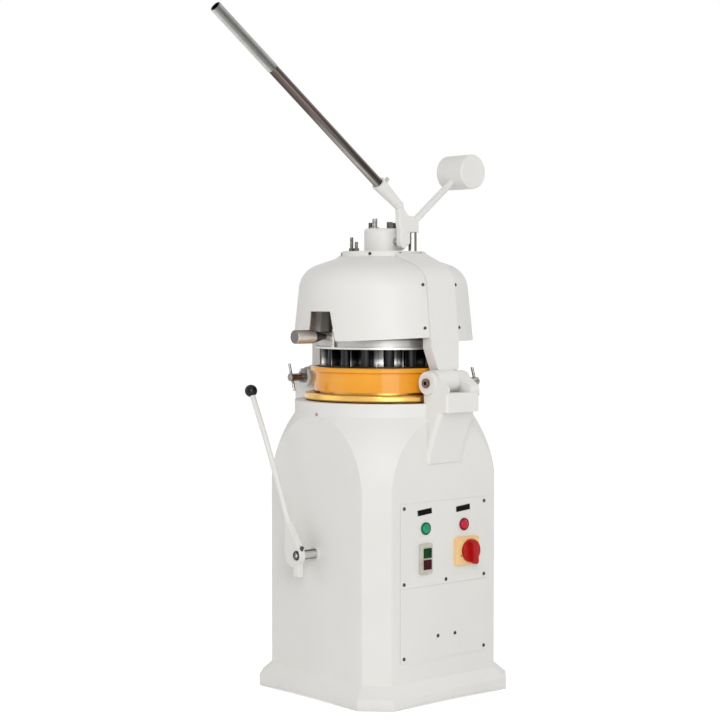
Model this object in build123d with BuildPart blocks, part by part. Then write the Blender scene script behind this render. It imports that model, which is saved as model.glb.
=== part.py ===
from build123d import *
import math
import os

# Dough divider rounder: cabinet, tilting press head, hand lever and orbiting moulding table.
# Millimetres. X points to the control side, Y to the back, Z up. Origin: middle of the foot, on the floor.

os.makedirs("parts", exist_ok=True)

# Clearances
fit_gap = 0.05  # round fits, on the radius
face_gap = 0.3  # faces that move past each other
seam_gap = 0.5  # covers, ears and panels beside their neighbour

# Foot and cabinet
foot_w = 646
foot_chamfer = 80
foot_band = 36
flare_h = 34
arch_w = 430
arch_rise = 9
cab_w = 576
cab_chamfer = 66
corner_round = 12
wall = 8
shoulder_z = 650
shoulder_r = 417
neck_z = 890
neck_r = 288
deck_z = 932
deck_t = 10
floor_plate_z = 14
floor_plate_t = 6

# Panels on the control side
panel_t = 2.5
panel_w = 374
panel_bottom = 133
access_h = 231
control_h = 263
panel_edge = 14
window_inset = 28
bar_half = 26
screw_head_r = 5
screw_head_h = 2.5
screw_shank_r = 2.5
screw_shank_l = 6
mid_screw_y = 5
low_screw_y = 37
low_screw_up = 70
low_screw_mid = 8

# Buttons, switch and isolator
button_up = 181
button_y = 83
bezel_r = 19.5
bezel_h = 5
bezel_bore_r = 17
barrel_wall = 1.6
barrel_l = 26
cap_out = 9
cap_travel = 4
button_round = 9
label_w = 59
label_h = 17
label_t = 1.5
label_up = 233
label_shift = -4
label_tilt = 5
switch_y = -86
switch_up = 87
switch_w = 50
switch_h = 94
switch_t = 9
switch_round = 4
key_w = 32
key_h = 30
key_pitch = 36
key_shift = 3
key_out = 4
key_back = 14
key_travel = 3
iso_y = 89.5
iso_up = 97
iso_w = 97
iso_h = 87
iso_t = 14
iso_knob_y = 98
iso_knob_up = 97
iso_knob_r = 37
iso_knob_t = 10
iso_grip_w = 20
iso_grip_t = 17
iso_grip_up = 35
iso_grip_down = 42
iso_grip_tilt = 8
iso_hole_r = 3.5
iso_hole_y = -30.5
iso_hole_z = -14
iso_stem_r = 7
iso_stem_l = 10

# Hinge brackets and pins
pin_x = 290
pin_z = 997
pin_r = 13
pin_end = 86
pin_nut_r = 15
pin_socket_r = 7
pin_socket_l = 8
knuckle_r = 40
yoke_w = 118
ear_t = 10
ear_r = 37
ear_clear = 3
knuckle_back = 28
boss_out = 10
pedestal_z = 745
pedestal_out = 346
pedestal_top = 908
pedestal_low_half = 78
pedestal_back = 80
pedestal_sag = 5
pedestal_round = 14
block_out = 374
nose_r = 20
nose_drop = 22
bracket_top = 968
bracket_in = 268
slot_side = 2.6
left_boss_r = 32
left_boss_out = 16
collar_r = 18
collar_l = 14
tee_y = 132
tee_bar_r = 4.8
tee_bar_l = 93
tee_tilt = -17.5
tee_end = 140

# Moulding table
orbit_e = 5
table_r = 258
table_z = 935
table_t = 22
table_round = 6
spacer_r = 210
spacer_t = 7
ring_in_r = 222
ring_out_r = 228
ring_lip_r = 238
ring_lip_h = 16
ring_top = 1041
ring_floor_t = 5
ring_floor_r = 204
dough_plate_t = 6
pad_r = 14
pad_ring_r = 236
pad_count = 3

# Drive inside the cabinet
shaft_r = 20
crank_pin_r = 17
crank_pin_l = 15
bearing_r = 40
bearing_t = 18
housing_r = 56
housing_flange_r = 85
housing_flange_t = 10
housing_bottom = 790
pulley_r = 105
pulley_t = 24
pulley_groove = 12
pulley_lip = 6
pulley_gap = 12
motor_x = -120
motor_y = 135
motor_r = 75
motor_h = 230
motor_pulley_r = 36
motor_shaft_r = 11
belt_t = 7
shelf_t = 10
shelf_w = 180

# Rounding lever at the front
round_z = 455
round_shaft_r = 15
round_shaft_out = 80
shaft_bore_r = 10
shaft_bore_l = 12
bush_r = 24
bush_t = 3
bush_l = 40
arm_y = -353
arm_r = 9
arm_root_x = -53
arm_root_up = 93
arm_mid_x = -138
arm_mid_up = 289
arm_tip_x = -237
arm_tip_up = 490
arm_hub_x = -23
arm_hub_r = 40
arm_hub_t = 20
arm_hub_round = 3
arm_tail_x = -6
arm_tail_w = 24
arm_tail_l = 68
set_screw_r = 6
set_screw_out = 31
set_screw_turn = 30
ball_r = 20.5
cam_r = 34
cam_t = 16
cam_off = 10
cam_y = -232
plug_r = 5
plug_out = 2
plug_x = 8
plug_z = 895
gland_z = 150
gland_y_x = -120
gland_r = 16
gland_out = 24

# Head: dome outline, yoke and covers
leg_out = 292
leg_in = 252
leg_taper_top = 1108
leg_low_front = 30
dome_low_r = 291
dome_skirt = 4
dome_knee_r = 268
dome_knee_z = 1349
dome_knee_round = 85
collar_top_r = 137
dome_top_z = 1394
band_rise = 10
plateau_z = 1411
plateau_r = 132.5
plateau_t = 36
yoke_in_z = 1358
yoke_in_r = 118
yoke_knee_r = 230
yoke_knee_z = 1312
yoke_knee_round = 60
cover_t = 4
cover_front_z = 1125
cover_side_rise = 14
cutout_left = -32
cutout_top_w = 90
cutout_low_w = 120
cutout_h = 94
cover_screw_r = 5
cover_screw_h = 2.5
cover_spot = 1
collar_screw_z = 1402
collar_screw_angles = (19, 60)
seam_screw_angle = 15
seam_screw_ups = (39, 174)

# Gear boss, lever shaft and rack
boss_r = 62
boss_wall = 8
boss_top = 1473
lug_r = 11
lug_h = 16
cap_t = 12
cap_round = 9
pivot_y = -2
pivot_z = 1442
pinion_r = 26
pinion_teeth = 13
pinion_w = 20
tooth_out = 2.8
tooth_in = 4.2
tooth_slim = 0.75
lever_shaft_r = 11
column_r = 15
rack_depth = 6
column_top = 1488
column_stud_r = 8
column_stud_top = 1517
boss_bolt_ring = 46
boss_bolt_r = 5
boss_bolt_angle = 15
boss_bolt_head_r = 10
boss_bolt_head_h = 26
boss_bolt_l = 18
stud_mid_x = -9
stud_pitch = 23
stud_y = -118
stud_r = 5
stud_h = 44
short_stud_h = 29
nut_r = 9
nut_h = 9
rod_x = 84
rod_r = 10
rod_bottom = 1166
sleeve_r = 17
sleeve_h = 70
rod_in = 24
column_foot_r = 36
column_foot_t = 10

# Main lever
lever_x = 105
lever_t = 24
lever_hub_r = 15
lever_lobe_r = 28
lever_round = 5
lever_corner = 9
lever_cheek = 5
post_y = 32
post_r = 13.5
post_h = 59
tube_y = -116
tube_z = 1623
tube_angle = 37.6
tube_r = 16.3
tube_wall = 3
tube_l = 800
socket_r = 23
socket_end_r = 15
socket_l = 112
socket_bore_l = 62
grip_l = 265
grip_t = 1
tube_screw_r = 6.5
tube_screw_h = 15
tube_screw_back = 22
weight_y = 247
weight_z = 1672
weight_r = 56
weight_l = 117
weight_round = 5
weight_arm_r = 11
weight_arm_in = 30
fork_y = 30
fork_z = 1500
stem_y = -28
stem_z = 1472
neck_y = -34
neck_low_z = 1500
neck_top_z = 1522
crotch_y = -14
crotch_z = 1545
saddle_y = 6
saddle_z = 1524
rear_y = 34
rear_z = 1521
heel_y = 50
heel_h = 35

# Press
drum_r = 208
drum_wall = 10
drum_top = 1150
drum_low = 1105
drum_plate_t = 10
rim_r = 219
rim_t = 6
block_low = 1036
block_r = 206
pad_h = 9
stem_r = 17
block_rod_r = 6
ring_counts = (5, 10, 15)
knife_t = 2
knife_gap = 0.6
knife_back = 3
carrier_r = 190
carrier_t = 6
carrier_gap = 3
carrier_hole = 1
hanger_r = 5
hanger_collar_r = 8
handle_up = 15
handle_hub_r = 12
handle_hub_h = 22
handle_neck_r = 7
handle_cone_start = 243
handle_knob_r = 21.5
handle_knob_start = 299
handle_knob_end = 371
dust_r = 178
dust_t = 4
dust_top = 1245

# Sizes that follow
cab_half = cab_w / 2
panel_face = cab_half + panel_t
panel_split = panel_bottom + access_h
panel_top = panel_split + control_h
low_screw_z = panel_bottom + low_screw_up
button_z = panel_split + button_up
label_z = panel_split + label_up
switch_z = panel_split + switch_up
key_y = switch_y + key_shift
iso_z = panel_split + iso_up
iso_knob_z = panel_split + iso_knob_up
dome_low_z = cover_front_z + dome_skirt
seam_screw_zs = [dome_low_z + up for up in seam_screw_ups]
handle_z = cover_front_z + handle_up
cover_side_z = cover_front_z + cover_side_rise
cutout_z = cover_front_z + cutout_h
yoke_half = yoke_w / 2
ear_in = yoke_half + seam_gap
ear_out = ear_in + ear_t
boss_face = ear_out + boss_out
rear_ear_in = knuckle_back + seam_gap
rear_leg_z = pin_z + ear_r + ear_clear
left_boss_face = boss_face + left_boss_out
knife_r = block_r - knife_back
table_top = table_z + table_t
spacer_top = table_top + spacer_t
ring_floor_top = spacer_top + ring_floor_t
deck_low = deck_z - deck_t
column_y = pivot_y - pinion_r - column_r + rack_depth
rack_y = pivot_y - pinion_r
carrier_top = drum_top - drum_plate_t - carrier_gap
rim_low = drum_low - rim_t
tooth_pitch = 2 * math.pi * pinion_r / pinion_teeth
tube_dir = Vector(0, -math.cos(math.radians(tube_angle)), math.sin(math.radians(tube_angle)))
plateau_low = plateau_z - plateau_t
hanger_y = -(drum_r + rim_r) / 2
heel_z = plateau_z + post_h + face_gap
cover_edge = yoke_half + seam_gap
band_gap = cover_screw_h + seam_gap
band_top_z = dome_top_z + band_rise
lever_end = lever_x + lever_t / 2 - lever_cheek


def cut_corners(width, leg):
    """Corner points of a square outline with cut corners."""
    half = width / 2
    flat = half - leg
    return [
        (half, -flat), (half, flat), (flat, half), (-flat, half),
        (-half, flat), (-half, -flat), (-flat, -half), (flat, -half),
    ]


def shoulder(shell):
    """Centre and radius of the shoulder arc, neck radius and rise, set in by the shell thickness."""
    centre = neck_r - math.sqrt(shoulder_r**2 - (neck_z - shoulder_z) ** 2)
    arc_r = shoulder_r - shell
    neck = neck_r - shell
    rise = math.sqrt(arc_r**2 - (neck - centre) ** 2)
    return centre, arc_r, neck, rise


# Cabinet: a square prism with cut corners, kept inside a round shoulder and neck.
arc_mid, arc_r, neck_side, neck_rise = shoulder(0)
with BuildPart() as cabinet_form:
    with BuildSketch():
        with BuildLine():
            FilletPolyline(*cut_corners(cab_w, cab_chamfer), radius=corner_round, close=True)
        make_face()
    extrude(amount=deck_z)
    with BuildSketch(Plane.XZ):
        with BuildLine():
            Polyline((0, 0), (arc_mid + arc_r, 0), (arc_mid + arc_r, shoulder_z))
            CenterArc((arc_mid, shoulder_z), arc_r, 0, math.degrees(math.atan2(neck_rise, neck_side - arc_mid)))
            Polyline((neck_side, shoulder_z + neck_rise), (neck_side, deck_z), (0, deck_z), (0, 0))
        make_face()
    revolve(axis=Axis.Z, mode=Mode.INTERSECT)

inner_w = cab_w - 2 * wall
inner_chamfer = cab_chamfer - wall * (2 - math.sqrt(2))
arc_mid, arc_r, neck_side, neck_rise = shoulder(wall)
with BuildPart() as cabinet_cavity:
    with BuildSketch():
        with BuildLine():
            FilletPolyline(*cut_corners(inner_w, inner_chamfer), radius=corner_round, close=True)
        make_face()
    extrude(amount=deck_low)
    with BuildSketch(Plane.XZ):
        with BuildLine():
            Polyline((0, 0), (arc_mid + arc_r, 0), (arc_mid + arc_r, shoulder_z))
            CenterArc((arc_mid, shoulder_z), arc_r, 0, math.degrees(math.atan2(neck_rise, neck_side - arc_mid)))
            Polyline((neck_side, shoulder_z + neck_rise), (neck_side, deck_low), (0, deck_low), (0, 0))
        make_face()
    revolve(axis=Axis.Z, mode=Mode.INTERSECT)

panel_row_top = panel_top - panel_edge
panel_row_mid = panel_split + panel_edge
panel_row_low = panel_bottom + panel_edge
panel_column = panel_w / 2 - panel_edge
screw_spots = [(side * panel_column, row) for side in (-1, 1) for row in (panel_row_top, panel_row_mid, panel_row_low)]
screw_spots.append((mid_screw_y, panel_row_mid))
low_spots = [(low_screw_mid + side * low_screw_y, low_screw_z) for side in (-1, 1)]
window_w = panel_w - 2 * window_inset
window_high = (panel_row_mid + bar_half, panel_top - window_inset)
window_low = (panel_bottom + window_inset, panel_row_mid - bar_half)

with BuildPart() as base_housing:
    add(cabinet_form.part)
    with BuildSketch():
        with BuildLine():
            FilletPolyline(*cut_corners(foot_w, foot_chamfer), radius=corner_round, close=True)
        make_face()
    extrude(amount=foot_band)
    with BuildSketch(Plane.XY.offset(foot_band)):
        with BuildLine():
            FilletPolyline(*cut_corners(foot_w, foot_chamfer), radius=corner_round, close=True)
        make_face()
    with BuildSketch(Plane.XY.offset(foot_band + flare_h)):
        with BuildLine():
            FilletPolyline(*cut_corners(cab_w, cab_chamfer), radius=corner_round, close=True)
        make_face()
    loft()
    add(cabinet_cavity.part, mode=Mode.SUBTRACT)
    # The foot stands on its four corners: a shallow arch under each side.
    for arch_plane in (Plane.XZ, Plane.YZ):
        with BuildSketch(arch_plane):
            with BuildLine():
                ThreePointArc((-arch_w / 2, 0), (0, arch_rise), (arch_w / 2, 0))
                Line((arch_w / 2, 0), (-arch_w / 2, 0))
            make_face()
        extrude(amount=foot_w, both=True, mode=Mode.SUBTRACT)
    # Two windows behind the panels, with a bar between them for the middle row of screws.
    for low, high in (window_high, window_low):
        with BuildSketch(Plane.YZ.offset(cab_half)):
            with Locations((0, (low + high) / 2)):
                Rectangle(window_w, high - low)
        extrude(amount=-wall, mode=Mode.SUBTRACT)
    with BuildSketch(Plane.YZ.offset(cab_half)):
        with Locations(*screw_spots):
            Circle(screw_shank_r + fit_gap)
    extrude(amount=-wall, mode=Mode.SUBTRACT)
    # Deck hole for the crank, front holes for the lever bush and the plug, back hole for the gland.
    with BuildSketch(Plane.XY.offset(deck_z)):
        Circle(shaft_r + orbit_e)
    extrude(amount=-deck_t, mode=Mode.SUBTRACT)
    with BuildSketch(Plane.XZ.offset(cab_half)):
        with Locations((0, round_z)):
            Circle(round_shaft_r + bush_t / 2 + fit_gap)
    extrude(amount=-wall, mode=Mode.SUBTRACT)
    with BuildSketch(Plane.XZ.offset(neck_r)):
        with Locations((plug_x, plug_z)):
            Circle(plug_r + fit_gap)
    extrude(amount=-wall, mode=Mode.SUBTRACT)
    with BuildSketch(Plane.XZ.offset(-cab_half)):
        with Locations((gland_y_x, gland_z)):
            Circle(gland_r / 2 + fit_gap)
    extrude(amount=wall, mode=Mode.SUBTRACT)
base_housing.part.label = "base_housing"
export_step(base_housing.part, "parts/base_housing.step")

with BuildPart() as bottom_plate:
    with BuildSketch(Plane.XY.offset(floor_plate_z)):
        with BuildLine():
            FilletPolyline(*cut_corners(inner_w - 2 * fit_gap, inner_chamfer), radius=corner_round, close=True)
        make_face()
    extrude(amount=floor_plate_t)
bottom_plate.part.label = "bottom_plate"
export_step(bottom_plate.part, "parts/bottom_plate.step")

# Panels on the control side
barrel_r = bezel_bore_r + barrel_wall
with BuildPart() as control_panel:
    with BuildSketch(Plane.YZ.offset(cab_half)):
        with Locations((0, (panel_split + seam_gap + panel_top) / 2)):
            Rectangle(panel_w, panel_top - panel_split - seam_gap)
        with Locations((-button_y, button_z), (button_y, button_z)):
            Circle(barrel_r + fit_gap, mode=Mode.SUBTRACT)
        with Locations((key_y, switch_z)):
            Rectangle(key_w + 2 * switch_round, key_pitch + key_h + 2 * switch_round, mode=Mode.SUBTRACT)
        with Locations(*[spot for spot in screw_spots if spot[1] > panel_split]):
            Circle(screw_shank_r + fit_gap, mode=Mode.SUBTRACT)
    extrude(amount=panel_t)
control_panel.part.label = "control_panel"
export_step(control_panel.part, "parts/control_panel.step")

with BuildPart() as access_panel:
    with BuildSketch(Plane.YZ.offset(cab_half)):
        with Locations((0, (panel_bottom + panel_split) / 2)):
            Rectangle(panel_w, panel_split - panel_bottom)
        with Locations(*[spot for spot in screw_spots if spot[1] < panel_split], *low_spots):
            Circle(screw_shank_r + fit_gap, mode=Mode.SUBTRACT)
    extrude(amount=panel_t)
access_panel.part.label = "access_panel"
export_step(access_panel.part, "parts/access_panel.step")

with BuildPart() as panel_screws:
    with BuildSketch(Plane.YZ.offset(panel_face)):
        with Locations(*screw_spots, *low_spots):
            Circle(screw_head_r)
    extrude(amount=screw_head_h)
    with BuildSketch(Plane.YZ.offset(panel_face)):
        with Locations(*screw_spots, *low_spots):
            Circle(screw_shank_r)
    extrude(amount=-screw_shank_l)
panel_screws.part.label = "panel_screws"
export_step(panel_screws.part, "parts/panel_screws.step")

with BuildPart() as label_plates:
    with BuildSketch(Plane.YZ.offset(panel_face)):
        with Locations((label_shift - button_y, label_z), (label_shift + button_y, label_z)):
            Rectangle(label_w, label_h, rotation=label_tilt)
    extrude(amount=label_t)
label_plates.part.label = "label_plates"
export_step(label_plates.part, "parts/label_plates.step")

# Two push buttons: a bezel whose barrel goes through the panel, and a cap that slides in it.
button_spots = [(-button_y, button_z), (button_y, button_z)]
with BuildPart() as button_bezels:
    with BuildSketch(Plane.YZ.offset(panel_face)):
        with Locations(*button_spots):
            Circle(bezel_r)
    extrude(amount=bezel_h)
    fillet(button_bezels.faces().group_by(Axis.X)[-1].edges(), bezel_h / 3)
    with BuildSketch(Plane.YZ.offset(panel_face)):
        with Locations(*button_spots):
            Circle(barrel_r)
    extrude(amount=-barrel_l)
    with BuildSketch(Plane.YZ.offset(panel_face - barrel_l)):
        with Locations(*button_spots):
            Circle(bezel_bore_r)
    extrude(amount=barrel_l + bezel_h, mode=Mode.SUBTRACT)
button_bezels.part.label = "button_bezels"
export_step(button_bezels.part, "parts/button_bezels.step")

for button_name, spot in zip(("green_button", "red_button"), button_spots):
    with BuildPart() as button:
        with BuildSketch(Plane.YZ.offset(panel_face + cap_out)):
            with Locations(spot):
                Circle(bezel_bore_r - face_gap)
        extrude(amount=-(cap_out + barrel_l - 2 * cap_travel))
        fillet(button.faces().sort_by(Axis.X)[-1].edges(), button_round)
    button.part.label = button_name
    export_step(button.part, "parts/" + button_name + ".step")

with BuildPart() as switch_box:
    with BuildSketch(Plane.YZ.offset(panel_face)):
        with Locations((switch_y, switch_z)):
            RectangleRounded(switch_w, switch_h, switch_round)
    extrude(amount=switch_t)
    with BuildSketch(Plane.YZ.offset(panel_face)):
        with Locations((key_y, switch_z)):
            Rectangle(key_w + 2 * switch_round - 2 * fit_gap, key_pitch + key_h + 2 * switch_round - 2 * fit_gap)
    extrude(amount=-2 * key_back)
    with BuildSketch(Plane.YZ.offset(panel_face + switch_t)):
        with Locations((key_y, switch_z - key_pitch / 2), (key_y, switch_z + key_pitch / 2)):
            Rectangle(key_w + 2 * face_gap, key_h + 2 * face_gap)
    extrude(amount=-(switch_t + key_back + key_travel), mode=Mode.SUBTRACT)
switch_box.part.label = "switch_box"
export_step(switch_box.part, "parts/switch_box.step")

for key_name, side in (("switch_on_key", 1), ("switch_off_key", -1)):
    with BuildPart() as key:
        with BuildSketch(Plane.YZ.offset(panel_face + switch_t + key_out)):
            with Locations((key_y, switch_z + side * key_pitch / 2)):
                Rectangle(key_w, key_h)
        extrude(amount=-(key_out + switch_t + key_back - face_gap))
        fillet(key.faces().sort_by(Axis.X)[-1].edges(), key_out / 2)
    key.part.label = key_name
    export_step(key.part, "parts/" + key_name + ".step")

with BuildPart() as isolator_plate:
    with BuildSketch(Plane.YZ.offset(panel_face)):
        with Locations((iso_y, iso_z)):
            RectangleRounded(iso_w, iso_h, switch_round)
    extrude(amount=iso_t)
    fillet(isolator_plate.faces().sort_by(Axis.X)[-1].edges(), switch_round / 2)
    with BuildSketch(Plane.YZ.offset(panel_face + iso_t)):
        with Locations((iso_knob_y, iso_knob_z)):
            Circle(iso_stem_r + fit_gap)
    extrude(amount=-iso_stem_l - face_gap, mode=Mode.SUBTRACT)
    with BuildSketch(Plane.YZ.offset(panel_face + iso_t)):
        with Locations((iso_y + iso_hole_y, iso_z + iso_hole_z)):
            Circle(iso_hole_r)
    extrude(amount=-iso_t / 2, mode=Mode.SUBTRACT)
isolator_plate.part.label = "isolator_plate"
export_step(isolator_plate.part, "parts/isolator_plate.step")

with BuildPart() as isolator_knob:
    with BuildSketch(Plane.YZ.offset(panel_face + iso_t + face_gap)):
        with Locations((iso_knob_y, iso_knob_z)):
            Circle(iso_knob_r)
    extrude(amount=iso_knob_t)
    fillet(isolator_knob.faces().sort_by(Axis.X)[-1].edges(), iso_knob_t / 4)
    with BuildSketch(Plane.YZ.offset(panel_face + iso_t + face_gap + iso_knob_t)):
        with Locations(Location((iso_knob_y, iso_knob_z, 0), (0, 0, 90 + iso_grip_tilt))):
            with Locations(((iso_grip_up - iso_grip_down) / 2, 0)):
                SlotOverall(iso_grip_up + iso_grip_down, iso_grip_w)
    extrude(amount=iso_grip_t)
    fillet(isolator_knob.faces().sort_by(Axis.X)[-1].edges(), iso_grip_w / 6)
    with BuildSketch(Plane.YZ.offset(panel_face + iso_t + face_gap)):
        with Locations((iso_knob_y, iso_knob_z)):
            Circle(iso_stem_r)
    extrude(amount=-iso_stem_l)
isolator_knob.part.label = "isolator_knob"
export_step(isolator_knob.part, "parts/isolator_knob.step")

# Hinge brackets: a leg on the cabinet side, a block on it, and beside the knuckle a thin front ear and a thick
# rear ear, each with a boss.
leg_foot = Vector(cab_half + wall / 2, pedestal_z)
leg_head = Vector(pedestal_out, pedestal_top)
leg_line = (leg_head - leg_foot).normalized()
leg_middle = (leg_foot + leg_head) * 0.5 + Vector(-leg_line.Y, leg_line.X) * pedestal_sag
with BuildPart() as pedestal_form:
    with BuildSketch(Plane.XZ):
        with BuildLine():
            ThreePointArc(leg_foot, leg_middle, leg_head)
            Polyline(leg_head, (bracket_in, pedestal_top), (bracket_in, pedestal_z), leg_foot)
        make_face()
    extrude(amount=pedestal_back, both=True)
    with BuildSketch(Plane.YZ):
        with BuildLine():
            Polyline(
                (-pedestal_low_half, pedestal_z), (pedestal_low_half, pedestal_z),
                (pedestal_back, pedestal_top), (-ear_out, pedestal_top), close=True,
            )
        make_face()
    extrude(amount=pedestal_out, mode=Mode.INTERSECT)
    slant_face = pedestal_form.faces().sort_by(Axis.X)[-1]
    fillet(slant_face.edges().filter_by(lambda e: e.bounding_box().size.Z > pedestal_round), pedestal_round)

with BuildPart() as ear_boss:
    with BuildSketch(Plane.XZ.offset(ear_out)):
        with Locations((pin_x, pin_z)):
            Circle(ear_r)
    extrude(amount=boss_out, taper=8)

with BuildPart() as bracket_form:
    with BuildSketch(Plane.XZ):
        with Locations(((bracket_in + block_out) / 2, (pedestal_top + bracket_top) / 2)):
            Rectangle(block_out - bracket_in, bracket_top - pedestal_top)
    extrude(amount=ear_out, both=True)
    outer_edges = bracket_form.faces().sort_by(Axis.X)[-1].edges().filter_by(Axis.Z)
    fillet(outer_edges, ear_t - 1)
    add(pedestal_form.part)
    for ear_start, ear_depth in ((ear_in, ear_t), (-ear_out, ear_out - rear_ear_in)):
        with BuildSketch(Plane.XZ.offset(ear_start)):
            with Locations((pin_x, pin_z)):
                Circle(ear_r)
            with Locations((block_out - nose_r, pin_z - nose_drop)):
                Circle(nose_r)
            make_hull()
        extrude(amount=ear_depth)
    add(ear_boss.part)
    mirror(ear_boss.part, about=Plane.XZ)
    with BuildSketch(Plane.XZ.offset(-rear_ear_in)):
        with Locations((pin_x, pin_z)):
            Circle(knuckle_r + face_gap)
    extrude(amount=rear_ear_in + ear_in, mode=Mode.SUBTRACT)
    add(cabinet_form.part, mode=Mode.SUBTRACT)

with BuildPart() as right_bracket:
    add(bracket_form.part)
    with BuildSketch(Plane.XZ):
        with Locations((pin_x, pin_z)):
            Circle(pin_r + fit_gap)
    extrude(amount=boss_face + 1, both=True, mode=Mode.SUBTRACT)
right_bracket.part.label = "right_bracket"
export_step(right_bracket.part, "parts/right_bracket.step")

# The left ears are open at the top, so the head's locking pin lifts out of them.
slot_r = pin_r + slot_side
slot_z = pin_z + slot_side - face_gap
with BuildPart() as left_bracket:
    mirror(bracket_form.part, about=Plane.YZ)
    with BuildSketch(Plane.XZ.offset(boss_face)):
        with Locations((-pin_x, pin_z)):
            Circle(left_boss_r)
    extrude(amount=left_boss_out)
    with BuildSketch(Plane.XZ):
        with Locations((-pin_x, slot_z)):
            Circle(slot_r)
        with Locations((-pin_x, slot_z + ear_r)):
            Rectangle(2 * slot_r, 2 * ear_r)
    extrude(amount=left_boss_face + 1, both=True, mode=Mode.SUBTRACT)
left_bracket.part.label = "left_bracket"
export_step(left_bracket.part, "parts/left_bracket.step")

# T-handled pins: the right one is the hinge, with its handle at the back, the left one locks at the front.
for pin_name, across, along, more in (("right_hinge_pin", 1, 1, 0), ("left_lock_pin", -1, -1, left_boss_out)):
    collar_start = along * (boss_face + face_gap)
    with BuildPart() as tee_pin:
        with BuildSketch(Plane.XZ.offset(along * pin_end)):
            with Locations((across * pin_x, pin_z)):
                Circle(pin_r)
        extrude(amount=-along * (pin_end + tee_end + more))
        with BuildSketch(Plane.XZ.offset(collar_start)):
            with Locations((across * pin_x, pin_z)):
                Circle(pin_nut_r)
        extrude(amount=along * (pin_end - boss_face - face_gap))
        with BuildSketch(Plane.XZ.offset(-collar_start - along * more)):
            with Locations((across * pin_x, pin_z)):
                Circle(collar_r)
        extrude(amount=-along * collar_l)
        with BuildSketch(Plane.XZ.offset(along * pin_end)):
            with Locations((across * pin_x, pin_z)):
                RegularPolygon(pin_socket_r, 6)
        extrude(amount=-along * pin_socket_l, mode=Mode.SUBTRACT)
        with Locations(Location((across * pin_x, along * (tee_y + more), pin_z), (0, tee_tilt, 0))):
            Cylinder(tee_bar_r, tee_bar_l)
    tee_pin.part.label = pin_name
    export_step(tee_pin.part, "parts/" + pin_name + ".step")

# Moulding table, carried by the crank's eccentric pin
with BuildPart() as table_disc:
    with BuildSketch(Plane.XY.offset(table_z)):
        with Locations((orbit_e, 0)):
            Circle(table_r)
    extrude(amount=table_t)
    fillet(table_disc.edges().filter_by(GeomType.CIRCLE), table_round)
    with BuildSketch(Plane.XY.offset(table_z)):
        with Locations((orbit_e, 0)):
            Circle(crank_pin_r + fit_gap)
    extrude(amount=crank_pin_l + face_gap, mode=Mode.SUBTRACT)
    with BuildSketch(Plane.XY.offset(table_top)):
        with Locations((orbit_e, 0)):
            Circle(spacer_r)
    extrude(amount=spacer_t)
table_disc.part.label = "table_disc"
export_step(table_disc.part, "parts/table_disc.step")

with BuildPart() as dough_ring:
    with BuildSketch(Plane.XY.offset(spacer_top)):
        with Locations((orbit_e, 0)):
            Circle(ring_out_r)
            Circle(ring_floor_r, mode=Mode.SUBTRACT)
    extrude(amount=ring_floor_t)
    with BuildSketch(Plane.XY.offset(spacer_top)):
        with Locations((orbit_e, 0)):
            Circle(ring_out_r)
            Circle(ring_in_r, mode=Mode.SUBTRACT)
    extrude(amount=ring_top - spacer_top)
    with BuildSketch(Plane.XY.offset(ring_top - ring_lip_h)):
        with Locations((orbit_e, 0)):
            Circle(ring_lip_r)
            Circle(ring_in_r, mode=Mode.SUBTRACT)
    extrude(amount=ring_lip_h)
    lip_edges = dough_ring.edges().filter_by(GeomType.CIRCLE).filter_by(lambda e: abs(e.radius - ring_lip_r) < 0.01)
    fillet(lip_edges, ring_lip_h / 4)
dough_ring.part.label = "dough_ring"
export_step(dough_ring.part, "parts/dough_ring.step")

with BuildPart() as dough_plate:
    with BuildSketch(Plane.XY.offset(ring_floor_top)):
        with Locations((orbit_e, 0)):
            Circle(ring_in_r - seam_gap)
    extrude(amount=dough_plate_t)
dough_plate.part.label = "dough_plate"
export_step(dough_plate.part, "parts/dough_plate.step")

with BuildPart() as table_pads:
    with BuildSketch(Plane.XY.offset(deck_z)):
        with PolarLocations(pad_ring_r, pad_count, start_angle=90):
            Circle(pad_r)
    extrude(amount=table_z - deck_z - face_gap)
table_pads.part.label = "table_pads"
export_step(table_pads.part, "parts/table_pads.step")

# Crank shaft in its bearings, with the drive pulley under the housing
shaft_top = table_z - 2 * face_gap
pulley_top = housing_bottom - pulley_gap
pulley_low = pulley_top - pulley_t
with BuildPart() as crank_shaft:
    with BuildSketch(Plane.XY.offset(pulley_low)):
        Circle(shaft_r)
    extrude(amount=shaft_top - pulley_low)
    with BuildSketch(Plane.XY.offset(shaft_top)):
        with Locations((orbit_e, 0)):
            Circle(crank_pin_r)
    extrude(amount=table_z + crank_pin_l - shaft_top)
crank_shaft.part.label = "crank_shaft"
export_step(crank_shaft.part, "parts/crank_shaft.step")

with BuildPart() as bearing_housing:
    with BuildSketch(Plane.XY.offset(housing_bottom)):
        Circle(housing_r)
    extrude(amount=deck_low - housing_bottom)
    with BuildSketch(Plane.XY.offset(deck_low)):
        Circle(housing_flange_r)
    extrude(amount=-housing_flange_t)
    with BuildSketch(Plane.XY.offset(housing_bottom)):
        Circle(bearing_r + fit_gap)
    extrude(amount=deck_low - housing_bottom, mode=Mode.SUBTRACT)
bearing_housing.part.label = "bearing_housing"
export_step(bearing_housing.part, "parts/bearing_housing.step")

with BuildPart() as crank_bearings:
    for bearing_z in (housing_bottom, deck_low - bearing_t):
        with BuildSketch(Plane.XY.offset(bearing_z)):
            Circle(bearing_r)
            Circle(shaft_r + fit_gap, mode=Mode.SUBTRACT)
        extrude(amount=bearing_t)
crank_bearings.part.label = "crank_bearings"
export_step(crank_bearings.part, "parts/crank_bearings.step")

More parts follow.
